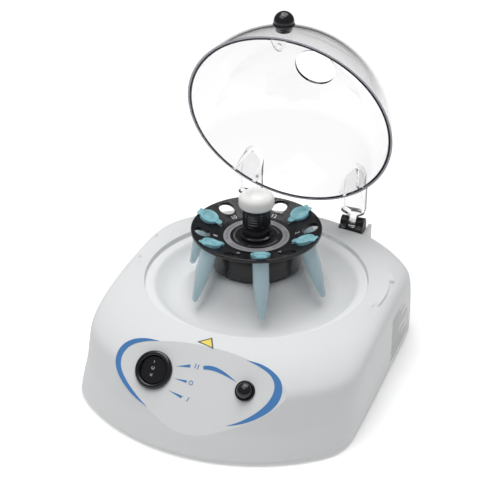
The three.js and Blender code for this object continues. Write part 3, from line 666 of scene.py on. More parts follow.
@dataclass
class Case:
    """The upper half of the case, with its bowl, panel and cut-outs."""

    layout: Layout
    half_width: float = 95
    edge_round: float = 10
    wall: float = 3
    bottom: float = 3
    deck: float = 59.4
    seat_radius: float = 75.6
    seat: float = 55.8
    boss: float = 70.6
    spindle_hole: float = 7
    notch_front: float = 84.2
    notch_floor: float = 47
    screw_circle: float = 21.5
    jack_radius: float = 4.9
    jack_height: float = 18
    hinge_half: float = 8.8
    front: Profile = (
        (129, 3), (125.5, 12), (121.2, 21), (118.8, 31), (115.8, 41), (109.6, 46.8), (99.4, 52.3), (88, 56.3),
        (76.6, 59.2),
    )
    back: Profile = (
        (108, 3), (108, 14), (108, 23), (108, 32), (108, 40), (106.6, 47), (102, 53.4), (93, 57.4),
        (76.6, 59.25),
    )
    back_shift: Sequence[float] = (24, 23, 21, 18, 14, 9, 4, 0, 0)

    def bowl(self) -> list[Point]:
        """Lists the rings from the deck's inner edge down the seat, through the bowl and up the boss.

        Returns:
            Radius and height of each ring.
        """
        rim = [(76.1, 59.35), (75.8, 59.2), (75.65, 58.9), (self.seat_radius, 58.4), (self.seat_radius, 56.5)]
        seat = [(75.45, 56.05), (75.1, self.seat), (70.1, self.seat), (69.3, 55.68), (68.5, 55.2)]
        trough = [
            (67.2, 54.1), (65.3, 52.1), (60.9, 48.7), (54.5, 46.8), (48.5, 48.9), (43, 54), (38.2, 60.7),
            (34.2, 67.4), (31.5, 69.9), (28.5, self.boss),
        ]
        hole = [(20, self.boss), (self.spindle_hole + 0.6, self.boss), (self.spindle_hole, self.boss - 0.6)]
        return rim + seat + [(r, z) for r, z in flowing(trough, 3)] + hole

    def side(self, height: float, inset: float) -> float:
        """Half the case's width at a height, with rounded top edges.

        Args:
            height: The height.
            inset: How far the skin is moved inwards.

        Returns:
            The half width; above the rounding only a skin moved inwards is limited.
        """
        rise = height - (self.deck - 2 - self.edge_round)
        if rise <= 0:
            return self.half_width - inset
        if rise >= self.edge_round:
            return self.half_width - self.edge_round - 1 if inset else 1e6
        return self.half_width - inset - self.edge_round + math.sqrt(self.edge_round**2 - rise**2)

    def block(self, name: str, inset: float, around: int, steps: int) -> Piece:
        """Draws the case as a solid block.

        Args:
            name: The block's name.
            inset: How far its whole skin is moved inwards.
            around: How many vertices go round.
            steps: Stretches between two of the profile's points.

        Returns:
            A closed block, cut by the panel's plane.
        """
        rows = flowing([(*f, *b, s) for f, b, s in zip(self.front, self.back, self.back_shift)], steps)
        low = self.bottom - (4 if inset else 0)
        bowl = [(r - (inset if r < 46 else 0), z - inset) for r, z in self.bowl()]
        if inset:
            bowl = [(78.6, self.seat - inset)] + [(r, z) for r, z in bowl if 26 < r < 69]
        bpy.ops.object.select_all(action="DESELECT")
        bpy.ops.mesh.primitive_circle_add(vertices=around, radius=0.1, location=(0, 0, 0), fill_type="NGON")
        piece = settled(named(bpy.context.object, name))
        pick(piece, lambda _: True)
        for _ in range(len(rows) + len(bowl) - 1):
            bpy.ops.mesh.extrude_region_move(TRANSFORM_OT_translate={"value": (0, 0, MM)})
        mode("OBJECT")
        vertices = piece.data.vertices
        for k in range(around):
            angle = 2 * math.pi * (k + 0.5) / around
            cosine, sine = math.cos(angle), math.sin(angle)
            blend = min(max((sine + 0.3) / 0.6, 0), 1)
            blend = blend * blend * (3 - 2 * blend)
            for i, (front_r, front_z, back_r, back_z, shift) in enumerate(rows):
                share = i / (len(rows) - 1)
                pull = inset * (1 - 1.8 * share**4)
                chord = math.sqrt((back_r - pull + shift) ** 2 - (shift * cosine) ** 2) - shift * sine
                reach = front_r - pull + (chord - front_r + pull) * blend
                height = front_z + (back_z - front_z) * blend
                side = self.side(height, inset) / max(abs(cosine), 1e-6)
                radius = (reach**-24 + side**-24) ** (-1 / 24)
                height = low if i == 0 else height - inset * share
                vertices[i * around + k].co = Vector((radius * cosine, radius * sine, height)) * MM
            for j, (radius, height) in enumerate(bowl):
                spot = Vector((radius * cosine, radius * sine, height)) * MM
                vertices[(len(rows) + j) * around + k].co = spot
        outwards(piece)
        normal = self.layout.panel_normal
        plane = self.layout.panel_spot - normal * inset * MM
        mode("EDIT")
        bpy.ops.mesh.select_all(action="SELECT")
        bpy.ops.mesh.bisect(plane_co=plane, plane_no=normal, use_fill=True, clear_outer=True)
        mode("OBJECT")
        return outwards(piece)

    def cutters(self) -> list[Piece]:
        """Draws what is cut from the case: the hinges' notches and the holes.

        Returns:
            The cutters, about the rotor's axis.
        """
        back = Matrix.Translation((0, -self.layout.axis_y * MM, 0))
        made = []
        for side in (-1, 1):
            x = side * self.layout.hinge_spacing
            low = (x - self.hinge_half, self.notch_front, self.notch_floor)
            made.append(brick("cut", low, (x + self.hinge_half, 120, 80)))
        spindle = self.spindle_hole - 0.01
        made.append(turned("cut", [(0, 40), (spindle, 40), (spindle, 90), (0, 90)], 64))
        for across, radius in ((self.layout.switch_across, 10.5), (self.layout.button_across, 6.2)):
            hole = rod("cut", radius, 20, 48)
            made.append(settled(hole, back @ self.layout.on_panel(across)))
        for angle in (30, 150, 270):
            x, y = arc(self.screw_circle, angle, angle, 1)[0]
            profile = [(0, 60), (1.7, 60), (1.7, self.boss - 1), (3.3, self.boss - 1), (3.3, 80), (0, 80)]
            made.append(moved(turned("cut", profile, 24), x, y))
        jack = rod("cut", self.jack_radius, 20, 48)
        turn = spin(90, "X")
        made.append(settled(jack, step(0, self.back[0][0], self.jack_height) @ turn))
        low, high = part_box("rating_label")
        edge = 0.2
        corner = (94.1, low.y / MM - self.layout.axis_y - edge, low.z / MM - edge)
        made.append(brick("cut", corner, (110, high.y / MM - self.layout.axis_y + edge, high.z / MM + edge)))
        return made

    def build(self) -> None:
        """Builds the case and dresses it."""
        shell = self.block("case_shell", 0, 224, 5)
        combined(shell, [self.block("hollow", self.wall, 96, 5)], Join.CUT)
        posts = []
        for side in (-1, 1):
            x = side * self.layout.hinge_spacing
            posts.append(
                brick("post", (x - 11, self.notch_front - 2, self.notch_floor - 3), (x + 11, 103, 55)),
            )
        combined(shell, posts, Join.ADD)
        combined(shell, self.cutters(), Join.CUT)
        smooth(shell, 0, 30)
        self.sharpen_panel(shell)
        fitted(
            settled(shell, self.layout.home), "base", CASE, "case_plastic", "upper_case", "bowl_ring",
            "bowl_boss",
        )

    def sharpen_panel(self, shell: Piece) -> None:
        """Marks the panel's outline as a sharp edge.

        Args:
            shell: The case, about the rotor's axis.
        """
        normal = self.layout.panel_normal
        level = normal.dot(self.layout.panel_spot)
        alone(shell)
        mode("EDIT")
        bpy.ops.mesh.select_mode(type="FACE")
        bpy.ops.mesh.select_all(action="DESELECT")
        mode("OBJECT")
        for face in shell.data.polygons:
            face.select = face.normal.dot(normal) > 0.9999 and abs(face.center.dot(normal) - level) < 1e-5
        mode("EDIT")
        bpy.ops.mesh.region_to_loop()
        bpy.ops.mesh.mark_sharp()
        mode("OBJECT")


# ------------------------------------------------------------------ printing


@dataclass
class PanelPrint:
    """The blue marks printed round the switch and the button."""

    layout: Layout
    lift: float = 0.02
    thickness: float = 0.05

    def mark(self, name: str, outline: Profile, finish: Finish) -> None:
        """Prints one flat mark on the panel.

        Args:
            name: Its name.
            outline: Its outline, across and up the panel.
            finish: Its ink.
        """
        piece = plate(name, outline, self.lift, self.lift + self.thickness)
        fitted(settled(piece, self.layout.on_panel()), "base", finish)

    def crescent(self, name: str, outer: Profile, inner: Profile) -> None:
        """Prints a crescent between two curves that share their ends.

        Args:
            name: Its name.
            outer: Points along its outer edge.
            inner: Points along its inner edge, from the same end.
        """
        there = [(p[0], p[1]) for p in flowing(outer, 5)]
        back = [(p[0], p[1]) for p in flowing(inner, 5)]
        self.mark(name, there + back[-2:0:-1], BLUE)

    def build(self) -> None:
        """Prints every mark."""
        outer = [
            (-31.5, 18.7), (-41, 18.6), (-49.5, 16.2), (-55.3, 11.6), (-57.9, 5), (-56.6, -2.6),
            (-50.6, -10.6), (-40, -18.6), (-28.8, -23.7),
        ]
        inner = [
            (-31.5, 18.7), (-40.5, 16.9), (-47.6, 13.9), (-52.1, 9.4), (-54.1, 3.6), (-52.6, -3.2),
            (-47.2, -10), (-38.4, -17.4), (-28.8, -23.7),
        ]
        self.crescent("panel_arc_left", outer, inner)
        outer = [
            (27.2, 18.8), (37, 18.3), (45.4, 15.5), (51.6, 11), (54.3, 4.4), (53.2, -3), (48.4, -10.1),
            (40, -16.9), (32.2, -21), (23.9, -23.9),
        ]
        inner = [
            (27.2, 18.8), (35.8, 16.6), (43, 13.7), (47.3, 9.8), (49, 4.8), (48, -1.3), (44.4, -7.9),
            (38.2, -14.6), (31.4, -19.8), (23.9, -23.9),
        ]
        self.crescent("panel_arc_right", outer, inner)
        upper = [(0.6, 9.5), (5.4, 10.4), (10.4, 10), (16.8, 7.9), (24.6, 4)]
        lower = [(0.6, 7.1), (5.2, 7.7), (10, 7.5), (16.2, 6.3), (24.6, 4)]
        self.crescent("panel_band", upper, lower)
        self.mark("panel_pointer_upper", [(-16.8, 5.4), (-7.6, 6.5), (-7.8, 8.6)], BLUE)
        self.mark("panel_pointer_middle", [(-16, -2.3), (-7.5, -3.4), (-7.5, -1.7)], BLUE)
        self.mark("panel_pointer_lower", [(-17.9, -10.3), (-8.5, -13.5), (-7.6, -11.8)], BLUE)
        self.symbols()
        self.caution()

    def symbols(self) -> None:
        """Prints the switch's plain position marks at the pointers' ends."""
        for name, across, up, turn, lines in (
            ("panel_symbol_upper", -3.4, 8.1, -6, (-0.95, 0.95)),
            ("panel_symbol_lower", -3.9, -13.2, -20, (0,)),
        ):
            strokes = []
            for x in lines:
                outline = [(x - 0.3, -1.5), (x + 0.3, -1.5), (x + 0.3, 1.5), (x - 0.3, 1.5)]
                strokes.append(plate(name, outline, self.lift, self.lift + self.thickness))
            place = self.layout.on_panel(across, up, turn)
            fitted(settled(joined(name, strokes), place), "base", BLUE)
        ring = [
            (1.5, self.lift), (1.5, self.lift + self.thickness), (1, self.lift + self.thickness),
            (1, self.lift),
        ]
        circle = turned("panel_symbol_middle", ring, 32)
        fitted(settled(circle, self.layout.on_panel(-4.6, -2.7)), "base", BLUE)

    def caution(self) -> None:
        """Prints a plain yellow triangle with a dark edge on the deck above the panel."""
        corners = [(-6.8, -0.4), (5.3, -3.0), (1.3, 5.1)]
        place = (
            self.layout.home
            @ step(-0.8, -84.2, 57.42)
            @ spin(18.2, "X")
        )
        edge = smooth(plate("deck_triangle_edge", corners, 0, 0.08), 0.03)
        fitted(settled(edge, place), "base", DARK)
        face = plate("deck_triangle", [(x * 0.72, y * 0.72 + 0.15) for x, y in corners], 0.08, 0.12)
        fitted(settled(face, place), "base", YELLOW)


@dataclass
class RatingLabel:
    """The film on the right wall, with plain bars in place of its words."""

    rows: int = 9
    margin: float = 3

    def build(self) -> None:
        """Builds the label's film and its bars."""
        low, high = (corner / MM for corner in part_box("rating_label"))
        film = smooth(brick("label_plate", low, high), 0.15)
        fitted(film, "base", LABEL, "label", "rating_label")
        width = high.y - low.y - 2 * self.margin
        pitch = (high.z - low.z - 2 * self.margin) / self.rows
        bars = []
        for row in range(self.rows):
            z = low.z + self.margin + pitch * (row + 0.3)
            share = (0.96, 0.62, 0.8, 0.45, 0.9)[row % 5]
            start = low.y + self.margin
            corner = (high.x, start, z)
            bars.append(brick("bar", corner, (high.x + 0.04, start + width * share, z + pitch * 0.36)))
        fitted(joined("label_bars", bars), "base", GREY)


# ------------------------------------------------------------------ controls


@dataclass
class Controls:
    """The rocker switch and the push button."""

    layout: Layout
    switch_radius: float = 12.4
    button_radius: float = 5

    def bezel(self) -> None:
        """Builds the switch's round bezel."""
        r = self.switch_radius
        profile = [(0, -20), (r - 2.2, -20), (r - 2.2, 0.15), (r, 0.15), (r, 0.9)]
        profile += arc(1.7, 0, 90, 6, r - 1.75, 0.9)[1:]
        profile += [(9.9, 2.5), (9.5, 2.2), (9.3, 1.7), (9.3, -10), (0, -10)]
        bezel = smooth(turned("switch_surround", profile, 96), 0, 40)
        fitted(
            settled(bezel, self.layout.on_panel(self.layout.switch_across)), "base", GLOSS, "gloss_black",
            "switch_bezel",
        )

    def rocker(self) -> None:
        """Builds the rocker, dished across, with its plain position marks."""
        profile = [(0, -6), (8.3, -6), (8.65, -5), (8.65, 0.9), (8.5, 1.3), (8.2, 1.5), (0, 1.5)]
        dish = rod("cut", 34, 14, 180)
        place = Matrix.Translation((0, 0, 34.35 * MM)) @ spin(90, "Y")
        rocker = combined(turned("rocker_cap", profile, 72), [settled(dish, place)], Join.CUT)
        place = self.layout.on_panel(self.layout.switch_across)
        fitted(settled(smooth(rocker, 0.12, 30), place), "rocker", GLOSS, "gloss_black", "switch_rocker")
        level, across = 0.37, -0.8
        marks = []
        for x in (-0.45, 0.45):
            low = (across + x - 0.16, -4.2, level + 0.02)
            marks.append(brick("mark", low, (across + x + 0.16, -2.6, level + 0.4)))
        marks.append(brick("mark", (across - 0.18, 4.4, level + 0.1), (across + 0.18, 6, level + 0.62)))
        ring = [(1.05, -0.4), (1.05, 0.41), (0.72, 0.41), (0.72, -0.4)]
        marks.append(moved(turned("mark", ring, 32), across, 1.2))
        piece = settled(joined("rocker_marks", marks), place)
        fitted(piece, "rocker", PALE)

    def button(self) -> None:
        """Builds the push button and its sleeve."""
        sleeve = [(0, -14), (5.9, -14), (5.9, 0.15), (6.5, 0.15), (6.5, 0.9)]
        sleeve += arc(0.6, 0, 90, 4, 5.9, 0.9)[1:] + [(5.5, 1.5), (5.3, 1.3), (5.3, -12.4), (0, -12.4)]
        place = self.layout.on_panel(self.layout.button_across)
        piece = smooth(turned("button_collar", sleeve, 64), 0, 40)
        fitted(settled(piece, place), "base", GLOSS, "gloss_black", "button_sleeve")
        r = self.button_radius
        profile = [(0, -9.8), (2, -9.8), (2, -3), (r, -3), (r, 2.5)]
        profile += [(x, 2.5 + z * 0.64) for x, z in arc(r, 0, 84, 10)][1:] + [(0, 2.5 + r * 0.64)]
        piece = smooth(turned("button_dome", profile, 64), 0, 40)
        fitted(settled(piece, place), "button", GLOSS, "gloss_black", "push_button")

    def build(self) -> None:
        """Builds every control."""
        self.bezel()
        self.rocker()
        self.button()


# ------------------------------------------------------------------ rotor


@dataclass
class Rotor:
    """The disc with its places, and what turns with it."""

    layout: Layout
    radius: float = 43.6
    hub: float = 90.8
    hub_radius: float = 25.2
    slope: float = 19.4
    thick: float = 2.7
    places: int = 12
    place_radius: float = 35.9
    first_angle: float = -65
    hole: float = 5.6
    first_number: int = 5
    number_radius: float = 27.2
    column_top: float = 113
    column_radius: float = 9.4
    cup_radius: float = 11.8

    @property
    def rise(self) -> float:
        """How far the disc climbs for each millimetre outwards."""
        return math.tan(math.radians(self.slope))

    def on_slope(self, angle: float, radius: float, lift: float = 0) -> Matrix:
        """Gives a frame on the disc's slope.

        Args:
            angle: The angle from the first tube, against the clock, in degrees.
            radius: The distance from the axis, along Y at first.
            lift: How far above the slope it is.

        Returns:
            The place of what is drawn with Z out of the slope and Y away from the axis.
        """
        height = self.hub + (radius - self.hub_radius) * self.rise + lift
        place = self.layout.home @ spin(self.first_angle + angle - 90, "Z")
        return place @ step(0, radius, height) @ spin(self.slope, "X")

    def hang(self, piece: Piece, finish: Finish, *names: str) -> None:
        """Sets a piece on the rotor's axis and dresses it."""
        fitted(settled(piece, self.layout.home), "rotor", finish, *names)

    def at_place(self, number: float) -> Matrix:
        """Gives the frame of a place, counted from the first tube against the clock."""
        return self.on_slope(number * 360 / self.places, self.place_radius)

    def disc(self) -> None:
        """Builds the disc with its twelve holes, every other one with a small notch."""
        top = self.hub + (self.radius - self.hub_radius) * self.rise
        rim = self.radius
        profile = [
            (3.2, self.hub - self.thick), (self.hub_radius - 0.6, self.hub - self.thick),
            (rim - 0.5, top - self.thick + 0.1),
        ]
        profile += [
            (rim, top - self.thick + 0.6), (rim, top - 0.7), (rim - 0.25, top - 0.25),
            (rim - 0.8, top - 0.12),
        ]
        profile += [(self.hub_radius + 1, self.hub + 0.35), (self.hub_radius - 0.5, self.hub)]
        profile += [
            (22.2, self.hub), (22.2, self.hub - 0.5), (17.4, self.hub - 0.5), (17.4, self.hub),
            (3.2, self.hub),
        ]
        disc = turned("rotor_dish", profile, 160)
        back = self.layout.home.inverted()
        holes = []
        for number in range(self.places):
            cutter = rod("cut", self.hole, 6, 40)
            holes.append(settled(cutter, back @ self.at_place(number)))
            if number % 2:
                notch = plate("cut", [(-1.1, -6.6), (1.1, -6.6), (1.1, 0), (-1.1, 0)], -6, 6)
                lean = spin(38, "Z")
                holes.append(settled(notch, back @ self.at_place(number) @ lean))
        combined(disc, holes, Join.CUT)
        smooth(disc, 0.22, 32)
        self.hang(disc, DISC, "gloss_black", "rotor_disc")

    def numbers(self) -> None:
        """Prints the places' numbers on the disc, their tops outwards."""
        for number in range(1, self.places + 1):
            bpy.ops.object.select_all(action="DESELECT")
            bpy.ops.object.text_add()
            text = bpy.context.object
            text.data.body = str(number)
            text.data.size = 4.3 * MM
            text.data.align_x = "CENTER"
            text.data.align_y = "CENTER"
            text.data.extrude = 0.03 * MM
            bpy.ops.object.convert(target="MESH")
            piece = named(bpy.context.object, f"place_number_{number}")
            angle = (self.first_number - number) * 360 / self.places
            place = self.on_slope(angle, self.number_radius, 0.08)
            fitted(settled(piece, place), "rotor", WHITE)

    def ticks(
        self, name: str, radius: float, length: float, width: float, angles: Iterable[float], finish: Finish,
    ) -> None:
        """Prints a ring of short strokes.

        Args:
            name: The ring's name.
            radius: Where the strokes start.
            length: How long each is.
            width: How wide each is.
            angles: Where they stand, in degrees.
            finish: Their ink.
        """
        top = self.hub + 0.02
        strokes = []
        for angle in angles:
            stroke = brick("stroke", (radius, -width / 2, top), (radius + length, width / 2, top + 0.05))
            strokes.append(settled(stroke, spin(angle, "Z")))
        self.hang(joined(name, strokes), finish)

    def hub_parts(self) -> None:
        """Builds the scale ring, its strokes and the drum."""
        ring = [(22, self.hub - 0.4), (22, self.hub - 0.02), (17.6, self.hub - 0.02), (17.6, self.hub - 0.4)]
        piece = turned("scale_band", ring, 128)
        self.hang(smooth(piece), RING, "scale_ring", "rotor_scale_ring")
        self.ticks(
            "scale_strokes", 18.9, 1.9, 0.42, [a for a in range(0, 360, 5) if a % 90 not in (40, 45, 50)],
            DARK,
        )
        self.ticks("hub_strokes", 14.4, 1, 0.3, [a for a in range(0, 360, 6) if a % 120 > 24], PALE)
        top = self.hub - self.thick - 0.2
        drum = [(3.2, 74), (8, 74), (8, top - 2.6), (26.2, top - 2.6), (27.7, 71.8), (29.7, 71.8), (30, 72.2)]
        drum += [
            (29.6, 74.4), (28.9, 78.5), (28.5, top + 0.5), (28.2, top + 0.85), (26.4, top + 0.2), (25, top),
            (3.2, top),
        ]
        piece = smooth(turned("drum_skirt", drum, 128), 0, 40)
        self.hang(piece, DISC, "matte_black", "rotor_drum")

    def column(self) -> None:
        """Builds the ribbed column and the white cup on it."""
        base, top, r = self.hub + 0.15, self.column_top, self.column_radius
        profile = [
            (3.15, base), (10.8, base), (11, base + 0.3), (11, base + 1), (10.6, base + 1.5), (r, base + 2),
        ]
        profile += [(r, 97.7), (r - 0.55, 98), (r - 0.55, 98.5), (r, 98.8), (r, 101)]
        for i in range(6):
            z = 101 + i * 1.9
            profile += [(r - 0.55, z + 0.35), (r - 0.55, z + 0.75), (r, z + 1.1), (r, z + 1.75)]
        profile += [(r - 0.8, top), (5.2, top), (5.2, top - 4.5), (3.15, top - 4.5)]
        piece = smooth(turned("column_grip", profile, 96), 0, 28)
        self.hang(piece, GLOSS, "matte_black", "rotor_clamp_nut")
        r = self.cup_radius
        cup = [
            (0, top - 4.2), (5, top - 4.2), (5, top + 0.2), (r - 1, top + 0.2), (r - 0.4, top + 0.6),
            (r, top + 1.4),
        ]
        cup += [(r, 118)] + arc(4, 0, 82, 9, r - 4, 118)[1:]
        cup += [(7, 121.8), (6, 121.2), (4.6, 119.9), (3, 119.1), (0, 118.8)]
        piece = smooth(turned("cup_soft", cup, 96), 0, 45)
        self.hang(piece, CUP, "cup_white", "vortex_cup")

    def build(self) -> None:
        """Builds everything that turns, but for the tubes."""
        self.disc()
        self.numbers()
        self.hub_parts()
        self.column()


@dataclass
class Tubes:
    """The snap-lid tubes in every other place."""

    rotor: Rotor
    radius: float = 5.35
    length: float = 41
    wall: float = 0.9
    seat: float = 0.35
    collar: float = 1

    def body(self) -> Piece:
        """Draws one tube with its collar on the disc.

        Returns:
            The tube, in the frame of its place.
        """
        r, inner, top = self.radius, self.radius - self.wall, self.seat + self.collar
        profile = [(0, -self.length)] + arc(2, 285, 348, 5, 0, 2 - self.length)
        profile += [(3.3, -31), (r - 0.12, -19), (r, -17.6), (r, self.seat), (6.1, self.seat)]
        profile += [(6.3, self.seat + 0.2), (6.3, top - 0.2), (6.15, top), (inner, top), (inner, -17.6)]
        profile += [(inner - 0.1, -18.8), (2.4, -31), (1.1, 2 - self.length), (0, 1.6 - self.length)]
        return smooth(turned("tube", profile, 40), 0, 40)

    def cap(self) -> Piece:
        """Draws one closed snap lid with its strap and thumb tab.

        Returns:
            The lid, in the frame of its place.
        """
        face = self.seat + self.collar + 0.12
        plug = self.radius - self.wall - 0.2
        profile = [(0, -1.2), (plug - 0.3, -1.2), (plug, -0.9), (plug, face), (6.3, face), (6.5, face + 0.2)]
        profile += [
            (6.5, face + 1.1), (6.2, face + 1.4), (4.9, face + 1.4), (4.4, face + 1.2), (4, face + 0.7),
        ]
        profile += [(2.2, face + 0.65), (1.8, face + 0.95), (0, face + 1)]
        cap = turned("lid", profile, 40)
        strap = [
            (-3.4, 4), (3.4, 4), (3.5, 6.6), (3.2, 8.2), (2.2, 8.8), (1.1, 8.6), (0, 8), (-1.1, 8.6),
            (-2.2, 8.8), (-3.2, 8.2), (-3.5, 6.6),
        ]
        tab = [
            (-2.7, -4), (-2.6, -6.8), (-2.1, -9), (-1.2, -9.6), (1.2, -9.6), (2.1, -9), (2.6, -6.8),
            (2.7, -4),
        ]
        parts = [smooth(plate("cut", outline, face + 0.02, face + 0.9), 0.25) for outline in (strap, tab)]
        combined(cap, parts, Join.ADD)
        return smooth(cap, 0, 40)

    def build(self) -> None:
        """Builds one tube and copies it to each place."""
        body, cap = self.body(), self.cap()
        for i in range(self.rotor.places // 2):
            place = self.rotor.at_place(2 * i)
            number, rides = i + 1, f"tube_{i + 1}"
            piece = twin(body, f"sample_tube_{number}", place)
            fitted(piece, rides, TUBE, "tube_plastic", f"tube_{number}")
            piece = twin(cap, f"sample_cap_{number}", place)
            fitted(piece, rides, TUBE_CAP, "tube_plastic", f"tube_lid_{number}")
        bpy.data.objects.remove(body)
        bpy.data.objects.remove(cap)


# ------------------------------------------------------------------ lid


@dataclass
class Lid:
    """The clear dome with its arms, latch tab and knob, drawn shut and then opened."""

    layout: Layout
    radius: float = 73.5
    wall: float = 2
    rim: float = 56.2
    centre: float = 44.9
    hole: float = 15
    opened: float = 72
    arm_width: float = 17.2
    tongue: float = 4.8
    hinge_y: float = 92.5
    hinge_z: float = 59.9

    @property
    def place(self) -> Matrix:
        """The turn about the hinge that opens the lid."""
        hinge = Matrix.Translation(self.layout.hinge)
        turn = spin(-self.opened, "X")
        return hinge @ turn @ hinge.inverted() @ self.layout.home

    def dome(self) -> Piece:
        """Draws the dome, open at the rim and at its top.

        Returns:
            The dome, shut, about the rotor's axis.
        """
        inner = self.radius - self.wall
        low = math.degrees(math.asin((self.rim - self.centre) / self.radius))
        inner_low = math.degrees(math.asin((self.rim - self.centre) / inner))
        high = math.degrees(math.acos(self.hole / self.radius))
        inner_high = math.degrees(math.acos(self.hole / inner))
        profile = arc(self.radius, low, high, 44, 0, self.centre)
        profile += arc(inner, inner_high, inner_low, 44, 0, self.centre)
        return turned("dome_shell", profile, 144)

    def arm(self, side: int) -> Piece:
        """Draws one hinge arm, a channel that tapers to a tongue.

        Args:
            side: -1 for the left arm and 1 for the right.

        Returns:
            The arm, shut, about the rotor's axis.
        """
        x, half, tongue = side * self.layout.hinge_spacing, self.arm_width / 2, self.tongue / 2
        top = flowing([(48, 82), (56, 77.4), (66, 71.6), (80, 66.6), (90.5, 63.5)], 4)
        outline = [(48, 60.3), (self.hinge_y, 60.3), (self.hinge_y, 63.7)]
        outline += [(p[0], p[1]) for p in reversed(top)]
        arm = sideways(plate("arm", outline, x - half, x + half))
        round_end = arc(half, 180, 360, 18, x, 60.6)
        plan = round_end + [(x + half, 82.4), (x + half - 0.9, 83.6), (x + tongue, 87.2), (x + tongue, 97)]
        plan += [(x - tongue, 97), (x - tongue, 87.2), (x - half + 0.9, 83.6), (x - half, 82.4)]
        combined(arm, [plate("keep", plan, 50, 90)], Join.KEEP)
        side = [(40, 50), (81.5, 50), (81.5, 64.2), (66, 69.3), (56, 75), (48, 79.6), (40, 84)]
        channel = sideways(plate("cut", side, x - 6.7, x + 6.7))
        inner = arc(6.7, 180, 360, 14, x, 60.6) + [(x + 6.7, 82), (x - 6.7, 82)]
        combined(channel, [plate("keep", inner, 40, 95)], Join.KEEP)
        skin = self.radius - 1.2
        cavity = [(0, 0), (skin, 0), *arc(skin, 0, 88, 22, 0, self.centre)[1:], (0, self.centre + skin)]
        combined(arm, [channel, turned("cut", cavity, 96)], Join.CUT)
        eye = rod("eye", 3.9, tongue, 40)
        turn = step(x, self.hinge_y, self.hinge_z) @ spin(90, "Y")
        return combined(arm, [settled(eye, turn)], Join.ADD)

    def latch(self) -> Piece:
        """Draws the latch tab with its hole.

        Returns:
            The tab, shut, about the rotor's axis.
        """
        outline = [(-6.2, 1), (-3.9, -5.4), *arc(3, 205, 335, 10, 0, -5.6), (3.9, -5.4), (6.2, 1)]
        tab = plate("tab", outline, -0.7, 0.7)
        hole = moved(rod("cut", 1.9, 3, 32), 0, -5)
        combined(tab, [hole], Join.CUT)
        place = step(0, -71.2, self.rim + 0.9) @ spin(172, "X")
        return combined(settled(tab, place), [brick("cut", (-20, -80, 40), (20, -72.4, 70))], Join.CUT)

    def knob(self) -> None:
        """Builds the black knob at the rim's front."""
        r = 6.9
        profile = [
            (0, 0.25), (4.9, 0.25), (5.3, 0.6), (6.2, 3), (7.1, 4.3), (7.4, 4.7), (7.4, 5.4), (7.1, 5.8),
        ]
        profile += arc(r, -6, 84, 14, 0, 6.9) + [(0, 6.9 + r)]
        knob = smooth(turned("lid_grip", profile, 64), 0, 40)
        lean = spin(90 - 17.5, "X")
        up = Matrix.Translation((0, 0, self.centre * MM))
        out = Matrix.Translation((0, 0, (self.radius - 0.2) * MM))
        fitted(settled(knob, self.place @ up @ lean @ out), "lid", GLOSS, "gloss_black", "lid_knob")

    def build(self) -> None:
        """Builds the lid and dresses it."""
        dome = combined(self.dome(), [self.arm(-1), self.arm(1), self.latch()], Join.ADD)
        pins = rod("cut", 1.6, 60, 32)
        place = step(0, self.hinge_y, self.hinge_z) @ spin(90, "Y")
        combined(dome, [settled(pins, place)], Join.CUT)
        smooth(dome, 0, 30)
        dome = settled(dome, self.place)
        fitted(dome, "lid", CLEAR, "lid_clear", "lid_dome", "lid_arm_left", "lid_arm_right")
        # A thin grey ring laid on the rim's face paints the clear edge's shade
        edge = [(72.1, 56.06), (73.4, 56.06), (73.46, 56.11), (73.4, 56.16), (72.1, 56.16)]
        fitted(settled(smooth(turned("painted_rim_shade_line", edge, 144)), self.place), "lid", PAINTED_RIM_SHADE)
        self.knob()


@dataclass
class EasedSolids:
    """Small solids whose shape is right, copied with their edges eased."""

    nodes: Sequence[tuple[str, float]] = (
        ("hinge_bracket_left", 0.5),
        ("hinge_bracket_right", 0.5),
        ("power_socket", 0.25),
        ("base_plate", 0.5),
        *((f"foot_{end}_{side}", 0.3) for end in ("front", "rear") for side in ("left", "right")),
    )

    def build(self, slots: dict[str, str]) -> None:
        """Copies each solid, merges it and eases its edges.

        Args:
            slots: The record's slot of each node.
        """
        for node, width in self.nodes:
            solid = FRAME["nodes"][node]
            copy = solid.copy()
            copy.data = solid.data.copy()
            copy.parent = None
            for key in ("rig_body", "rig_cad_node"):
                del copy[key]
            bpy.context.scene.collection.objects.link(copy)
            outwards(named(copy, f"{node}_eased"))
            modified(copy, "DECIMATE", decimate_type="DISSOLVE", angle_limit=math.radians(2))
            smooth(copy, width, 35)
            slot = slots[node]
            fitted(copy, solid["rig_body"], SLOT_FINISHES[slot], slot, node)


# ------------------------------------------------------------------ studio


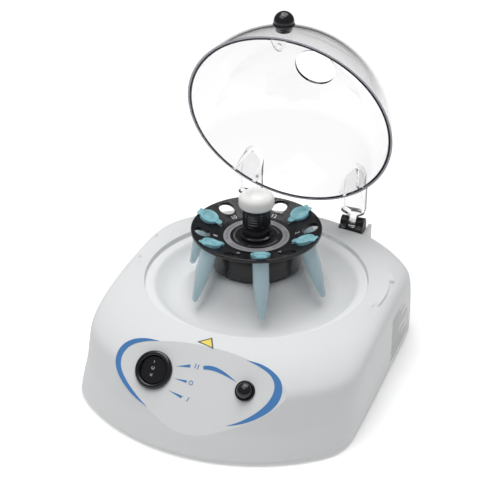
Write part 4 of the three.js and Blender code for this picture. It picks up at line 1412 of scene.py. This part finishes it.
@dataclass
class Studio:
    """A pale floor, soft lights and the camera."""

    layout: Layout

    def floor(self) -> None:
        """Lays the floor."""
        bpy.ops.object.select_all(action="DESELECT")
        bpy.ops.mesh.primitive_plane_add(size=14)
        floor = settled(named(bpy.context.object, "floor"))
        nodes = Nodes("floor_white")
        inputs = nodes.shader.inputs
        inputs["Roughness"].default_value = 0.9
        inputs["Specular IOR Level"].default_value = 0.1
        inputs["Emission Color"].default_value = (1, 1, 1, 1)
        inputs["Emission Strength"].default_value = 0.23
        nodes.tint(nodes.spread(nodes.noise(3, 2), 0, 1), (0.97, 0.97, 0.97), (0.96, 0.96, 0.96))
        floor.data.materials.append(nodes.material)

    def light(self, name: str, spot: Sequence[float], size: float, power: float) -> None:
        """Hangs a square soft light that faces the machine.

        Args:
            name: Its name.
            spot: Where it hangs, in metres.
            size: The length of its side, in metres.
            power: Its power in watts.
        """
        bpy.ops.object.select_all(action="DESELECT")
        bpy.ops.object.light_add(type="AREA", location=spot)
        lamp = named(bpy.context.object, name)
        lamp.data.size = size
        lamp.data.energy = power
        aim = Vector((0, 0, 0.06)) - Vector(spot)
        lamp.rotation_euler = aim.to_track_quat("-Z", "Y").to_euler()

    def camera(self) -> None:
        """Sets the camera."""
        azimuth, elevation = math.radians(21.07), math.radians(30.63)
        level = math.cos(elevation)
        look = Vector((-math.sin(azimuth) * level, math.cos(azimuth) * level, -math.sin(elevation)))
        spot = Vector((276.41, -729.4 + self.layout.axis_y, 541.11)) * MM
        bpy.ops.object.camera_add(location=spot, rotation=look.to_track_quat("-Z", "Y").to_euler())
        camera = named(bpy.context.object, "camera")
        camera.data.lens = 97.44
        camera.data.sensor_width = 36
        bpy.context.scene.camera = camera

    def build(self) -> None:
        """Sets up everything round the machine."""
        self.camera()
        self.floor()
        self.light("top_light", (-0.05, 0.42, 1.5), 1.3, 16.6)
        self.light("front_light", (-0.26, -0.3, 1.45), 1.15, 8.6)
        world = bpy.data.worlds.new("studio_air")
        world.use_nodes = True
        world.node_tree.nodes["Background"].inputs["Color"].default_value = (1, 1, 1, 1)
        world.node_tree.nodes["Background"].inputs["Strength"].default_value = 0.1
        bpy.context.scene.world = world
        bpy.context.scene.view_settings.view_transform = "Standard"


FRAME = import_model()


def main() -> None:
    """Builds the machine round its solids."""
    logging.basicConfig(level=logging.INFO, format="%(name)s: %(message)s")
    bpy.ops.object.select_all(action="DESELECT")
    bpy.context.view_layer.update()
    layout = Layout.of_solids()
    slots = {row["node"]: row["material_slot"] for row in FRAME["record"]["subparts"]}
    for name, node in FRAME["nodes"].items():
        node.data.materials.clear()
        node.data.materials.append(SLOT_FINISHES[slots[name]].material())
    Studio(layout).build()
    Case(layout).build()
    PanelPrint(layout).build()
    RatingLabel().build()
    Controls(layout).build()
    rotor = Rotor(layout)
    rotor.build()
    Tubes(rotor).build()
    Lid(layout).build()
    EasedSolids().build(slots)


if __name__ == "__main__":
    main()
